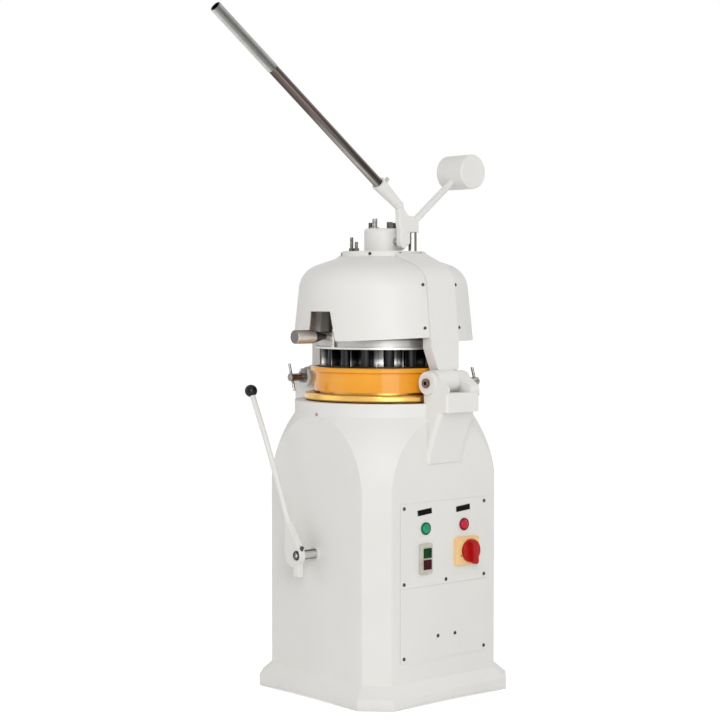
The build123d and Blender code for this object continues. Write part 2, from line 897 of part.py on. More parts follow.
groove_low = pulley_low + (pulley_t - pulley_groove) / 2
with BuildPart() as drive_pulley:
    with BuildSketch(Plane.XY.offset(pulley_low)):
        Circle(pulley_r + pulley_lip)
    extrude(amount=pulley_t)
    with BuildSketch(Plane.XY.offset(groove_low)):
        Circle(pulley_r + 2 * pulley_lip)
        Circle(pulley_r, mode=Mode.SUBTRACT)
    extrude(amount=pulley_groove, mode=Mode.SUBTRACT)
    with BuildSketch(Plane.XY.offset(pulley_low)):
        Circle(shaft_r + fit_gap)
    extrude(amount=pulley_t, mode=Mode.SUBTRACT)
drive_pulley.part.label = "drive_pulley"
export_step(drive_pulley.part, "parts/drive_pulley.step")

motor_top = pulley_low - pulley_gap
with BuildPart() as motor_pulley:
    with BuildSketch(Plane.XY.offset(pulley_low)):
        with Locations((motor_x, motor_y)):
            Circle(motor_pulley_r + pulley_lip)
    extrude(amount=pulley_t)
    with BuildSketch(Plane.XY.offset(groove_low)):
        with Locations((motor_x, motor_y)):
            Circle(motor_pulley_r + 2 * pulley_lip)
            Circle(motor_pulley_r, mode=Mode.SUBTRACT)
    extrude(amount=pulley_groove, mode=Mode.SUBTRACT)
    with BuildSketch(Plane.XY.offset(pulley_low)):
        with Locations((motor_x, motor_y)):
            Circle(motor_shaft_r)
    extrude(amount=-4 * pulley_gap)
motor_pulley.part.label = "motor_pulley"
export_step(motor_pulley.part, "parts/motor_pulley.step")

with BuildPart() as drive_belt:
    with BuildSketch(Plane.XY.offset(groove_low + 1)) as belt_outline:
        Circle(pulley_r + face_gap + belt_t)
        with Locations((motor_x, motor_y)):
            Circle(motor_pulley_r + face_gap + belt_t)
        make_hull()
        with BuildSketch(Plane.XY.offset(groove_low + 1), mode=Mode.PRIVATE) as belt_inside:
            Circle(pulley_r + face_gap)
            with Locations((motor_x, motor_y)):
                Circle(motor_pulley_r + face_gap)
            make_hull()
        add(belt_inside.sketch, mode=Mode.SUBTRACT)
    extrude(amount=pulley_groove - 2)
drive_belt.part.label = "drive_belt"
export_step(drive_belt.part, "parts/drive_belt.step")

motor_low = motor_top - motor_h
shelf_front = motor_y - motor_r - shelf_t
with BuildPart() as motor:
    with BuildSketch(Plane.XY.offset(motor_low)):
        with Locations((motor_x, motor_y)):
            Circle(motor_r)
    extrude(amount=motor_h)
    chamfer(motor.edges().filter_by(GeomType.CIRCLE).sort_by(Axis.Z)[-1], shelf_t)
    with BuildSketch(Plane.XY.offset(motor_top)):
        with Locations((motor_x, motor_y)):
            Circle(motor_shaft_r + fit_gap)
    extrude(amount=-4 * pulley_gap, mode=Mode.SUBTRACT)
motor.part.label = "motor"
export_step(motor.part, "parts/motor.step")

with BuildPart() as motor_shelf:
    with BuildSketch(Plane.XY.offset(motor_low)):
        with Locations((motor_x, (shelf_front + cab_half - wall) / 2)):
            Rectangle(shelf_w, cab_half - wall - shelf_front)
    extrude(amount=-shelf_t)
    with BuildSketch(Plane.XY.offset(motor_low - shelf_t)):
        with Locations((motor_x, cab_half - wall - shelf_t / 2)):
            Rectangle(shelf_w, shelf_t)
    extrude(amount=-shelf_w / 2)
motor_shelf.part.label = "motor_shelf"
export_step(motor_shelf.part, "parts/motor_shelf.step")

# Rounding lever: bush in the front wall, shaft, tapered arm with ball knob, cam on the inner end
with BuildPart() as round_bush:
    with BuildSketch(Plane.XZ.offset(cab_half)):
        with Locations((0, round_z)):
            Circle(bush_r)
    extrude(amount=bush_t)
    fillet(round_bush.faces().sort_by(Axis.Y)[0].edges(), bush_t / 3)
    with BuildSketch(Plane.XZ.offset(cab_half)):
        with Locations((0, round_z)):
            Circle(round_shaft_r + bush_t / 2)
    extrude(amount=-bush_l)
    with BuildSketch(Plane.XZ.offset(cab_half + bush_t)):
        with Locations((0, round_z)):
            Circle(round_shaft_r + fit_gap)
    extrude(amount=-bush_l - bush_t, mode=Mode.SUBTRACT)
round_bush.part.label = "round_bush"
export_step(round_bush.part, "parts/round_bush.step")

with BuildPart() as round_shaft:
    with BuildSketch(Plane.XZ.offset(cab_half + round_shaft_out)):
        with Locations((0, round_z)):
            Circle(round_shaft_r)
    extrude(amount=-(cab_half + round_shaft_out + cam_y + cam_t))
    chamfer(round_shaft.faces().sort_by(Axis.Y)[0].edges(), 2)
    with BuildSketch(Plane.XZ.offset(cab_half + round_shaft_out)):
        with Locations((0, round_z)):
            Circle(shaft_bore_r)
    extrude(amount=-shaft_bore_l, mode=Mode.SUBTRACT)
    with BuildSketch(Plane.XZ.offset(-cam_y)):
        with Locations((cam_off, round_z)):
            Circle(cam_r)
    extrude(amount=-cam_t)
round_shaft.part.label = "round_shaft"
export_step(round_shaft.part, "parts/round_shaft.step")

# The arm bends a little on its way up, so it is swept along an arc
with BuildLine() as arm_path:
    ThreePointArc(
        (arm_root_x, arm_y, round_z + arm_root_up), (arm_mid_x, arm_y, round_z + arm_mid_up),
        (arm_tip_x, arm_y, round_z + arm_tip_up),
    )
arm_root = Plane(arm_path.line @ 0, z_dir=arm_path.line % 0)
arm_tip = Plane(arm_path.line @ 1, z_dir=arm_path.line % 1)
set_screw_axis = Location((0, arm_y, round_z), (0, set_screw_turn, 0))
tip_flat = ball_r - math.sqrt(ball_r**2 - arm_r**2)
with BuildPart() as round_arm:
    with BuildSketch(Plane.XZ.offset(-arm_y - arm_hub_t / 2)):
        with Locations((arm_hub_x, round_z)):
            Circle(arm_hub_r)
        with Locations((arm_root_x, round_z + arm_root_up)):
            Circle(arm_r)
        make_hull()
        with Locations((arm_tail_x, round_z - arm_tail_l / 2)):
            Rectangle(arm_tail_w, arm_tail_l)
    extrude(amount=arm_hub_t)
    fillet(round_arm.faces().sort_by(Axis.Y)[0].edges(), arm_hub_round)
    with BuildSketch(arm_root):
        Circle(arm_r)
    sweep(path=arm_path.line)
    with Locations(arm_tip):
        Cylinder(arm_r / 2, ball_r, align=(Align.CENTER, Align.CENTER, Align.MIN))
    with BuildSketch(Plane.XZ.offset(-arm_y - arm_hub_t / 2)):
        with Locations((0, round_z)):
            Circle(round_shaft_r + fit_gap)
    extrude(amount=arm_hub_t, mode=Mode.SUBTRACT)
    with Locations(set_screw_axis):
        Cylinder(set_screw_r + fit_gap, 2 * arm_hub_r, align=(Align.CENTER, Align.CENTER, Align.MIN), mode=Mode.SUBTRACT)
round_arm.part.label = "round_arm"
export_step(round_arm.part, "parts/round_arm.step")

with BuildPart() as round_knob:
    with Locations(arm_tip.offset(ball_r - tip_flat)):
        Sphere(ball_r)
    with Locations(arm_tip):
        Cylinder(ball_r, ball_r, align=(Align.CENTER, Align.CENTER, Align.MAX), mode=Mode.SUBTRACT)
        Cylinder(
            arm_r / 2 + fit_gap, ball_r + face_gap, align=(Align.CENTER, Align.CENTER, Align.MIN),
            mode=Mode.SUBTRACT,
        )
round_knob.part.label = "round_knob"
export_step(round_knob.part, "parts/round_knob.step")

with BuildPart() as arm_set_screw:
    with Locations(set_screw_axis * Location((0, 0, round_shaft_r + face_gap))):
        Cylinder(set_screw_r, set_screw_out - round_shaft_r, align=(Align.CENTER, Align.CENTER, Align.MIN))
arm_set_screw.part.label = "arm_set_screw"
export_step(arm_set_screw.part, "parts/arm_set_screw.step")

with BuildPart() as front_plug:
    with BuildSketch(Plane.XZ.offset(neck_r + plug_out)):
        with Locations((plug_x, plug_z)):
            Circle(plug_r)
    extrude(amount=-plug_out - wall)
front_plug.part.label = "front_plug"
export_step(front_plug.part, "parts/front_plug.step")

with BuildPart() as cable_gland:
    with BuildSketch(Plane.XZ.offset(-cab_half)):
        with Locations((gland_y_x, gland_z)):
            RegularPolygon(gland_r, 6)
    extrude(amount=-gland_out)
    with BuildSketch(Plane.XZ.offset(-cab_half)):
        with Locations((gland_y_x, gland_z)):
            Circle(gland_r / 2)
    extrude(amount=2 * wall)
    with BuildSketch(Plane.XZ.offset(-cab_half + 2 * wall)):
        with Locations((gland_y_x, gland_z)):
            Circle(gland_r / 4)
    extrude(amount=-gland_out - 2 * wall, mode=Mode.SUBTRACT)
cable_gland.part.label = "cable_gland"
export_step(cable_gland.part, "parts/cable_gland.step")

# Yoke: an arch across the machine, with a round top plate and a knuckle on each pin. The legs narrow at the
# front above the pins, and end above the thick rear ears.
with BuildPart() as yoke:
    with BuildSketch(Plane.XZ) as yoke_outline:
        with BuildLine():
            Polyline(
                (leg_out, pin_z), (dome_low_r, dome_low_z), (dome_knee_r, dome_knee_z), (collar_top_r, band_top_z),
                (-collar_top_r, band_top_z), (-dome_knee_r, dome_knee_z), (-dome_low_r, dome_low_z), (-leg_out, pin_z),
                (-leg_in, pin_z), (-leg_in, dome_low_z), (-yoke_knee_r, yoke_knee_z), (-yoke_in_r, yoke_in_z),
                (yoke_in_r, yoke_in_z), (yoke_knee_r, yoke_knee_z), (leg_in, dome_low_z), (leg_in, pin_z), close=True,
            )
        make_face()
        fillet(yoke_outline.vertices().filter_by(lambda v: abs(v.Y - dome_knee_z) < 0.01), dome_knee_round)
        fillet(yoke_outline.vertices().filter_by(lambda v: abs(v.Y - yoke_knee_z) < 0.01), yoke_knee_round)
    extrude(amount=yoke_half, both=True)
    with BuildSketch(Plane.YZ):
        with BuildLine():
            Polyline(
                (-yoke_half - 1, leg_taper_top), (-leg_low_front, pin_z + knuckle_r), (-leg_low_front, pin_z - 1),
                (-yoke_half - 1, pin_z - 1), close=True,
            )
        make_face()
    extrude(amount=leg_out + 1, mode=Mode.SUBTRACT)
    with BuildSketch(Plane.YZ):
        with BuildLine():
            Polyline(
                (knuckle_back, pin_z - 1), (yoke_half + 1, pin_z - 1), (yoke_half + 1, rear_leg_z),
                (knuckle_back, rear_leg_z), close=True,
            )
        make_face()
    extrude(amount=leg_out + 1, both=True, mode=Mode.SUBTRACT)
    with BuildSketch(Plane.XZ.offset(-knuckle_back)):
        with Locations((-pin_x, pin_z), (pin_x, pin_z)):
            Circle(knuckle_r)
    extrude(amount=knuckle_back + yoke_half)
    with BuildSketch(Plane.XY.offset(dome_top_z)):
        Circle(collar_top_r + band_gap)
    extrude(amount=band_rise, mode=Mode.SUBTRACT)
    with BuildSketch(Plane.XY.offset(plateau_low)):
        Circle(plateau_r)
    extrude(amount=plateau_t)
    with BuildSketch(Plane.XZ):
        with Locations((-pin_x, pin_z), (pin_x, pin_z)):
            Circle(pin_r + fit_gap)
    extrude(amount=yoke_half, both=True, mode=Mode.SUBTRACT)
    with BuildSketch(Plane.XY.offset(plateau_z)):
        with Locations((0, column_y)):
            Circle(column_r + fit_gap)
    extrude(amount=yoke_in_z - plateau_z, mode=Mode.SUBTRACT)
    with BuildSketch(Plane.XY.offset(yoke_in_z)):
        with Locations((-rod_x, 0), (rod_x, 0)):
            Circle(rod_r + fit_gap)
    extrude(amount=rod_in, mode=Mode.SUBTRACT)
yoke.part.label = "yoke"
export_step(yoke.part, "parts/yoke.step")

# Covers: two halves of one domed shell, in front of and behind the yoke
with BuildPart() as dome_shell:
    with BuildSketch(Plane.XZ) as dome_outline:
        with BuildLine():
            Polyline(
                (0, cover_front_z), (dome_low_r, cover_front_z), (dome_low_r, dome_low_z), (dome_knee_r, dome_knee_z),
                (collar_top_r, dome_top_z), (collar_top_r, plateau_z - cover_screw_h), (0, plateau_z - cover_screw_h),
                close=True,
            )
        make_face()
        fillet(dome_outline.vertices().filter_by(lambda v: abs(v.Y - dome_knee_z) < 0.01), dome_knee_round)
    revolve(axis=Axis.Z)
    with BuildSketch(Plane.XZ) as dome_inside:
        with BuildLine():
            Polyline(
                (0, cover_front_z), (dome_low_r - cover_t, cover_front_z), (dome_low_r - cover_t, dome_low_z),
                (dome_knee_r - cover_t, dome_knee_z - cover_t / 2), (collar_top_r - cover_t, dome_top_z - cover_t),
                (collar_top_r - cover_t, plateau_z), (0, plateau_z), close=True,
            )
        make_face()
        fillet(
            dome_inside.vertices().filter_by(lambda v: abs(v.Y - dome_knee_z + cover_t / 2) < 0.01),
            dome_knee_round - cover_t,
        )
    revolve(axis=Axis.Z, mode=Mode.SUBTRACT)

# Cover screws sit in spot faces: along the collar and down each seam.
side_slope = (dome_low_r - dome_knee_r) / (dome_knee_z - dome_low_z)
side_tilt = math.atan(side_slope)
cover_screw_planes = []
for quarter_x, quarter_y in ((1, -1), (-1, -1), (1, 1), (-1, 1)):
    for angle in collar_screw_angles:
        out = Vector(quarter_x * math.cos(math.radians(angle)), quarter_y * math.sin(math.radians(angle)), 0)
        spot = out * collar_top_r + Vector(0, 0, collar_screw_z)
        cover_screw_planes.append(Plane(spot, z_dir=out))
    for seam_z in seam_screw_zs:
        turn = math.radians(seam_screw_angle)
        out = Vector(quarter_x * math.cos(turn), quarter_y * math.sin(turn), 0)
        spot = out * (dome_low_r - side_slope * (seam_z - dome_low_z)) + Vector(0, 0, seam_z)
        lean = out * math.cos(side_tilt) + Vector(0, 0, math.sin(side_tilt))
        cover_screw_planes.append(Plane(spot, z_dir=lean))

for cover_name, toward in (("front_cover", -1), ("rear_cover", 1)):
    with BuildPart() as cover:
        add(dome_shell.part)
        split(bisect_by=Plane((0, toward * cover_edge, 0), z_dir=(0, toward, 0)), keep=Keep.TOP)
        with BuildSketch(Plane.XY.offset(dome_top_z + seam_gap)):
            with BuildLine():
                CenterArc((0, 0), collar_top_r, 0, toward * 180)
                Line((-collar_top_r, 0), (-collar_top_r + cover_t, 0))
                CenterArc((0, 0), collar_top_r - cover_t, 0, toward * 180)
                Line((collar_top_r, 0), (collar_top_r - cover_t, 0))
            make_face()
            with Locations((0, 0)):
                Rectangle(2 * dome_low_r, seam_gap, mode=Mode.SUBTRACT)
        extrude(amount=plateau_z - cover_screw_h - dome_top_z - seam_gap)
        if toward < 0:
            with BuildSketch(Plane.XZ):
                with BuildLine():
                    ThreePointArc((-leg_out, cover_side_z), (0, cover_front_z), (leg_out, cover_side_z))
                    Polyline(
                        (leg_out, cover_side_z), (leg_out, cover_front_z - cover_t),
                        (-leg_out, cover_front_z - cover_t), (-leg_out, cover_side_z),
                    )
                make_face()
            extrude(amount=leg_out, mode=Mode.SUBTRACT)
            with BuildSketch(Plane.XZ):
                with BuildLine():
                    Polyline(
                        (cutout_left, cover_front_z - cover_t), (cutout_left + cutout_low_w, cover_front_z - cover_t),
                        (cutout_left + cutout_top_w, cutout_z), (cutout_left, cutout_z), close=True,
                    )
                make_face()
            extrude(amount=leg_out, mode=Mode.SUBTRACT)
        for screw_plane in cover_screw_planes:
            if screw_plane.origin.Y * toward > 0:
                with BuildSketch(screw_plane.offset(-cover_spot)):
                    Circle(cover_screw_r + fit_gap)
                extrude(amount=cover_screw_h, mode=Mode.SUBTRACT)
                with BuildSketch(screw_plane):
                    Circle(screw_shank_r + fit_gap)
                extrude(amount=-2 * cover_t, mode=Mode.SUBTRACT)
    cover.part.label = cover_name
    export_step(cover.part, "parts/" + cover_name + ".step")

with BuildPart() as cover_screws:
    for screw_plane in cover_screw_planes:
        with BuildSketch(screw_plane.offset(-cover_spot)):
            Circle(cover_screw_r)
        extrude(amount=cover_screw_h)
        with BuildSketch(screw_plane.offset(-cover_spot)):
            Circle(screw_shank_r)
        extrude(amount=-(cover_t - cover_spot))
cover_screws.part.label = "cover_screws"
export_step(cover_screws.part, "parts/cover_screws.step")

# Gear boss on the top plate, with its cap and bolts
bolt_turns = (-boss_bolt_angle, 180 + boss_bolt_angle, 90)
bolt_spots = [
    (boss_bolt_ring * math.cos(math.radians(turn)), boss_bolt_ring * math.sin(math.radians(turn))) for turn in bolt_turns
]
with BuildPart() as gear_boss:
    with BuildSketch(Plane.XY.offset(plateau_z)):
        Circle(boss_r)
        Circle(boss_r - boss_wall, mode=Mode.SUBTRACT)
    extrude(amount=boss_top - plateau_z)
    with BuildSketch(Plane.XY.offset(boss_top)):
        with Locations(*bolt_spots):
            Circle(lug_r)
    extrude(amount=-lug_h)
    with BuildSketch(Plane.YZ):
        with Locations((pivot_y, pivot_z)):
            Circle(lever_shaft_r + fit_gap)
    extrude(amount=boss_r, both=True, mode=Mode.SUBTRACT)
    with BuildSketch(Plane.XY.offset(boss_top)):
        with Locations(*bolt_spots):
            Circle(boss_bolt_r + fit_gap)
    extrude(amount=cap_t - boss_bolt_l, mode=Mode.SUBTRACT)
gear_boss.part.label = "gear_boss"
export_step(gear_boss.part, "parts/gear_boss.step")

with BuildPart() as gear_cap:
    with BuildSketch(Plane.XY.offset(boss_top)):
        Circle(boss_r)
    extrude(amount=cap_t)
    fillet(gear_cap.faces().sort_by(Axis.Z)[-1].edges(), cap_round)
    with BuildSketch(Plane.XY.offset(boss_top)):
        with Locations((0, column_y)):
            Circle(column_r + seam_gap)
        with Locations(*bolt_spots):
            Circle(boss_bolt_r + fit_gap)
    extrude(amount=cap_t, mode=Mode.SUBTRACT)
    with BuildSketch(Plane.XY.offset(boss_top + cap_t)):
        with Locations(*bolt_spots):
            Circle(boss_bolt_head_r + seam_gap)
    extrude(amount=-cap_t / 2, mode=Mode.SUBTRACT)
gear_cap.part.label = "gear_cap"
export_step(gear_cap.part, "parts/gear_cap.step")

with BuildPart() as boss_bolts:
    with BuildSketch(Plane.XY.offset(boss_top + cap_t / 2)):
        with Locations(*bolt_spots):
            RegularPolygon(boss_bolt_head_r, 6)
    extrude(amount=boss_bolt_head_h)
    with BuildSketch(Plane.XY.offset(boss_top + cap_t / 2)):
        with Locations(*bolt_spots):
            Circle(boss_bolt_r)
    extrude(amount=cap_t / 2 - boss_bolt_l)
boss_bolts.part.label = "boss_bolts"
export_step(boss_bolts.part, "parts/boss_bolts.step")

stud_spots = [(stud_mid_x + side * stud_pitch / 2, stud_y) for side in (-1, 1)]
with BuildPart() as adjusting_studs:
    for stud_spot, stud_reach in zip(stud_spots, (stud_h, short_stud_h)):
        with BuildSketch(Plane.XY.offset(plateau_z)):
            with Locations(stud_spot):
                Circle(stud_r)
        extrude(amount=stud_reach)
    with BuildSketch(Plane.XY.offset(plateau_z)):
        with Locations(*stud_spots):
            RegularPolygon(nut_r, 6)
    extrude(amount=nut_h)
adjusting_studs.part.label = "adjusting_studs"
export_step(adjusting_studs.part, "parts/adjusting_studs.step")

with BuildPart() as stop_post:
    with BuildSketch(Plane.XY.offset(plateau_z)):
        with Locations((lever_x, post_y)):
            Circle(post_r)
    extrude(amount=post_h)
    chamfer(stop_post.faces().sort_by(Axis.Z)[-1].edges(), 1.5)
stop_post.part.label = "stop_post"
export_step(stop_post.part, "parts/stop_post.step")

with BuildPart() as guide_rods:
    with BuildSketch(Plane.XY.offset(rod_bottom)):
        with Locations((-rod_x, 0), (rod_x, 0)):
            Circle(rod_r)
    extrude(amount=yoke_in_z + rod_in - rod_bottom)
guide_rods.part.label = "guide_rods"
export_step(guide_rods.part, "parts/guide_rods.step")

# Main lever: pinion shaft, forked casting, tube with grip sleeve, counterweight
tooth_slope = math.tan(math.radians(20))
tooth_half = tooth_pitch / 4 - tooth_slim
tooth_base = pinion_r - tooth_in - 1
with BuildPart() as pinion_shaft:
    with BuildSketch(Plane.YZ.offset(-boss_r - wall / 2)):
        with Locations((pivot_y, pivot_z)):
            Circle(lever_shaft_r)
    extrude(amount=boss_r + wall / 2 + lever_end)
    with BuildSketch(Plane.YZ.offset(-pinion_w / 2)):
        with Locations((pivot_y, pivot_z)):
            Circle(pinion_r - tooth_in)
            with PolarLocations(0, pinion_teeth, start_angle=180):
                Polygon(
                    (tooth_base, -tooth_half - tooth_slope * (pinion_r - tooth_base)),
                    (pinion_r + tooth_out, -tooth_half + tooth_slope * tooth_out),
                    (pinion_r + tooth_out, tooth_half - tooth_slope * tooth_out),
                    (tooth_base, tooth_half + tooth_slope * (pinion_r - tooth_base)),
                    align=None,
                )
    extrude(amount=pinion_w)
pinion_shaft.part.label = "pinion_shaft"
export_step(pinion_shaft.part, "parts/pinion_shaft.step")

socket_mouth = Plane((lever_x, tube_y, tube_z), x_dir=(1, 0, 0), z_dir=tube_dir)
socket_end = socket_mouth.origin - tube_dir * socket_l
tube_side = Vector(0, math.sin(math.radians(tube_angle)), math.cos(math.radians(tube_angle)))
screw_plane = Plane(socket_mouth.origin - tube_dir * tube_screw_back + tube_side * tube_r, z_dir=tube_side)
fork = Vector(lever_x, fork_y, fork_z)
weight_mid = Vector(lever_x, weight_y, weight_z)
arm_plane = Plane(fork, z_dir=weight_mid - fork)
arm_reach = (weight_mid - fork).length - weight_r + weight_arm_in
lobe = [
    (pivot_y + lever_lobe_r * math.cos(math.radians(turn)), pivot_z + lever_lobe_r * math.sin(math.radians(turn)))
    for turn in (250, 215, 180)
]
hub_side = lever_hub_r * math.sqrt(0.5)
with BuildPart() as lever_casting:
    with BuildSketch(Plane.YZ.offset(lever_x - lever_t / 2)) as lever_plate:
        with BuildLine():
            Polyline(
                lobe[2], (stem_y, stem_z), (neck_y, neck_low_z), (neck_y, neck_top_z),
                (socket_end.Y - socket_end_r * tube_side.Y, socket_end.Z - socket_end_r * tube_side.Z),
                (socket_end.Y + socket_end_r * tube_side.Y, socket_end.Z + socket_end_r * tube_side.Z),
                (crotch_y, crotch_z), (saddle_y, saddle_z), (rear_y, rear_z), (heel_y, heel_z + heel_h),
                (heel_y, heel_z), (pivot_y + lever_hub_r, heel_z), (pivot_y + lever_hub_r, pivot_z),
            )
            ThreePointArc(
                (pivot_y + lever_hub_r, pivot_z), (pivot_y + hub_side, pivot_z - hub_side),
                (pivot_y, pivot_z - lever_hub_r),
            )
            Line((pivot_y, pivot_z - lever_hub_r), lobe[0])
            ThreePointArc(*lobe)
        make_face()
        corners = lever_plate.vertices().filter_by(lambda spot: heel_z + heel_h - 6 < spot.Y < crotch_z + 1)
        fillet(corners.filter_by(lambda spot: abs(spot.X - socket_end.Y) < 10, reverse=True), lever_corner)
    extrude(amount=lever_t)
    plate_edges = lever_casting.edges().group_by(Axis.X)
    fillet(plate_edges[0] + plate_edges[-1], lever_round)
    with Locations(socket_mouth.offset(-socket_l)):
        Cone(socket_end_r, socket_r, socket_l, align=(Align.CENTER, Align.CENTER, Align.MIN))
    with Locations(socket_end):
        Sphere(socket_end_r)
    with BuildSketch(arm_plane):
        Circle(weight_arm_r)
    extrude(amount=arm_reach)
    with Locations(fork):
        Sphere(weight_arm_r)
    with BuildSketch(socket_mouth):
        Circle(tube_r + fit_gap)
    extrude(amount=-socket_bore_l, mode=Mode.SUBTRACT)
    with BuildSketch(screw_plane):
        Circle(tube_screw_r + fit_gap)
    extrude(amount=socket_r, mode=Mode.SUBTRACT)
    with BuildSketch(Plane.YZ.offset(lever_x - lever_t / 2)):
        with Locations((pivot_y, pivot_z)):
            Circle(lever_shaft_r + fit_gap)
    extrude(amount=lever_t - lever_cheek + face_gap, mode=Mode.SUBTRACT)
lever_casting.part.label = "lever_casting"
export_step(lever_casting.part, "parts/lever_casting.step")

with BuildPart() as lever_tube:
    with BuildSketch(socket_mouth.offset(face_gap - socket_bore_l)):
        Circle(tube_r)
        Circle(tube_r - tube_wall, mode=Mode.SUBTRACT)
    extrude(amount=tube_l + socket_bore_l - face_gap)
lever_tube.part.label = "lever_tube"
export_step(lever_tube.part, "parts/lever_tube.step")

with BuildPart() as lever_grip:
    with BuildSketch(socket_mouth.offset(tube_l - grip_l)):
        Circle(tube_r + fit_gap + grip_t)
        Circle(tube_r + fit_gap, mode=Mode.SUBTRACT)
    extrude(amount=grip_l)
lever_grip.part.label = "lever_grip"
export_step(lever_grip.part, "parts/lever_grip.step")

with BuildPart() as tube_screw:
    with BuildSketch(screw_plane.offset(face_gap)):
        Circle(tube_screw_r)
    extrude(amount=socket_r - tube_r + tube_screw_h)
tube_screw.part.label = "tube_screw"
export_step(tube_screw.part, "parts/tube_screw.step")

with BuildPart() as counterweight:
    with BuildSketch(Plane.YZ.offset(lever_x - weight_l / 2)):
        with Locations((weight_y, weight_z)):
            Circle(weight_r)
    extrude(amount=weight_l)
    fillet(counterweight.edges().filter_by(GeomType.CIRCLE), weight_round)
    with BuildSketch(arm_plane.offset(arm_reach + face_gap)):
        Circle(weight_arm_r + fit_gap)
    extrude(amount=-2 * weight_r, mode=Mode.SUBTRACT)
counterweight.part.label = "counterweight"
export_step(counterweight.part, "parts/counterweight.step")

# Rack column: its teeth face the pinion, its threaded end stands out of the cap
gap_half = tooth_pitch / 4 + tooth_slim / 2
gap_deep = rack_y - tooth_in
gap_face = rack_y + tooth_out
rack_low = pivot_z - 2 * tooth_pitch
gap_count = int((column_top - pivot_z) / tooth_pitch) + 2
with BuildPart() as rack_column:
    with BuildSketch(Plane.XY.offset(drum_top)):
        with Locations((0, column_y)):
            Circle(column_r)
    extrude(amount=column_top - drum_top)
    with BuildSketch(Plane.XY.offset(drum_top)):
        with Locations((0, column_y)):
            Circle(column_foot_r)
    extrude(amount=column_foot_t)
    with BuildSketch(Plane.XY.offset(column_top)):
        with Locations((0, column_y)):
            Circle(column_stud_r)
    extrude(amount=column_stud_top - column_top)
    with BuildSketch(Plane.YZ):
        with Locations((gap_face + column_r / 2, (rack_low + column_top) / 2)):
            Rectangle(column_r, column_top - rack_low)
        for gap_number in range(-1, gap_count - 1):
            gap_z = pivot_z + gap_number * tooth_pitch
            with BuildLine():
                Polyline(
                    (gap_deep, gap_z - gap_half + tooth_slope * tooth_in),
                    (gap_face + 1, gap_z - gap_half - tooth_slope * (tooth_out + 1)),
                    (gap_face + 1, gap_z + gap_half + tooth_slope * (tooth_out + 1)),
                    (gap_deep, gap_z + gap_half - tooth_slope * tooth_in), close=True,
                )
            make_face()
    extrude(amount=column_r, both=True, mode=Mode.SUBTRACT)
rack_column.part.label = "rack_column"
export_step(rack_column.part, "parts/rack_column.step")

# Press drum: a cup with a bright rim, guide sleeves on top and a notch for the changeover stud
with BuildPart() as press_drum:
    with BuildSketch(Plane.XY.offset(drum_low)):
        Circle(drum_r)
    extrude(amount=drum_top - drum_low)
    with BuildSketch(Plane.XY.offset(drum_low)):
        with Locations((0, hanger_y)):
            Circle(handle_hub_r + 2 * seam_gap)
    extrude(amount=drum_top - drum_low, mode=Mode.SUBTRACT)
    with BuildSketch(Plane.XY.offset(rim_low)):
        Circle(rim_r)
    extrude(amount=rim_t)
    with BuildSketch(Plane.XY.offset(rim_low)):
        Circle(drum_r - drum_wall)
    extrude(amount=drum_top - drum_plate_t - rim_low, mode=Mode.SUBTRACT)
    with BuildSketch(Plane.XY.offset(drum_top)):
        with Locations((-rod_x, 0), (rod_x, 0)):
            Circle(sleeve_r)
            Circle(rod_r + fit_gap, mode=Mode.SUBTRACT)
    extrude(amount=sleeve_h)
press_drum.part.label = "press_drum"
export_step(press_drum.part, "parts/press_drum.step")

# Press blocks in three rings of equal area each: a sector pad on a round stem and a rod
block_total = sum(ring_counts)
ring_edges = [block_r * math.sqrt(sum(ring_counts[:k]) / block_total) for k in range(len(ring_counts) + 1)]
half_gap = knife_t / 2 + knife_gap
ring_mids = [(ring_edges[k] + ring_edges[k + 1]) / 2 for k in range(len(ring_counts))]
with BuildPart() as press_blocks:
    for k, count in enumerate(ring_counts):
        half_turn = 180 / count
        inner = ring_edges[k] + half_gap
        outer = ring_edges[k + 1] - (half_gap if k + 1 < len(ring_counts) else 0)
        with BuildSketch(Plane.XY.offset(block_low)):
            Circle(outer)
            if k > 0:
                Circle(inner, mode=Mode.SUBTRACT)
            with PolarLocations(outer / 2, count):
                Rectangle(outer, 2 * half_gap, mode=Mode.SUBTRACT)
        extrude(amount=pad_h)
        with BuildSketch(Plane.XY.offset(block_low + pad_h)):
            with PolarLocations(ring_mids[k], count, start_angle=half_turn):
                Circle(stem_r)
        extrude(amount=rim_low - block_low - pad_h)
        with BuildSketch(Plane.XY.offset(rim_low)):
            with PolarLocations(ring_mids[k], count, start_angle=half_turn):
                Circle(block_rod_r)
        extrude(amount=drum_top - drum_plate_t - rim_low)
press_blocks.part.label = "press_blocks"
export_step(press_blocks.part, "parts/press_blocks.step")

# Knife set: a carrier in the drum, with ring knives and radial knives between the blocks
carrier_low = carrier_top - carrier_t
with BuildPart() as knife_set:
    with BuildSketch(Plane.XY.offset(block_low)):
        for edge in ring_edges[1:-1]:
            Circle(edge + knife_t / 2)
            Circle(edge - knife_t / 2, mode=Mode.SUBTRACT)
        for k, count in enumerate(ring_counts):
            reach = min(ring_edges[k + 1], carrier_r)
            with PolarLocations((ring_edges[k] + reach) / 2, count):
                Rectangle(reach - ring_edges[k], knife_t)
    extrude(amount=carrier_low - block_low)
    with BuildSketch(Plane.XY.offset(block_low)):
        with PolarLocations((carrier_r + knife_r) / 2 - 1, ring_counts[-1]):
            Rectangle(knife_r - carrier_r + 2, knife_t)
    extrude(amount=rim_low - seam_gap - block_low)
    with BuildSketch(Plane.XY.offset(carrier_low)):
        Circle(carrier_r)
        for k, count in enumerate(ring_counts):
            with PolarLocations(ring_mids[k], count, start_angle=180 / count):
                Circle(block_rod_r + carrier_hole, mode=Mode.SUBTRACT)
    extrude(amount=carrier_t)
knife_set.part.label = "knife_set"
export_step(knife_set.part, "parts/knife_set.step")

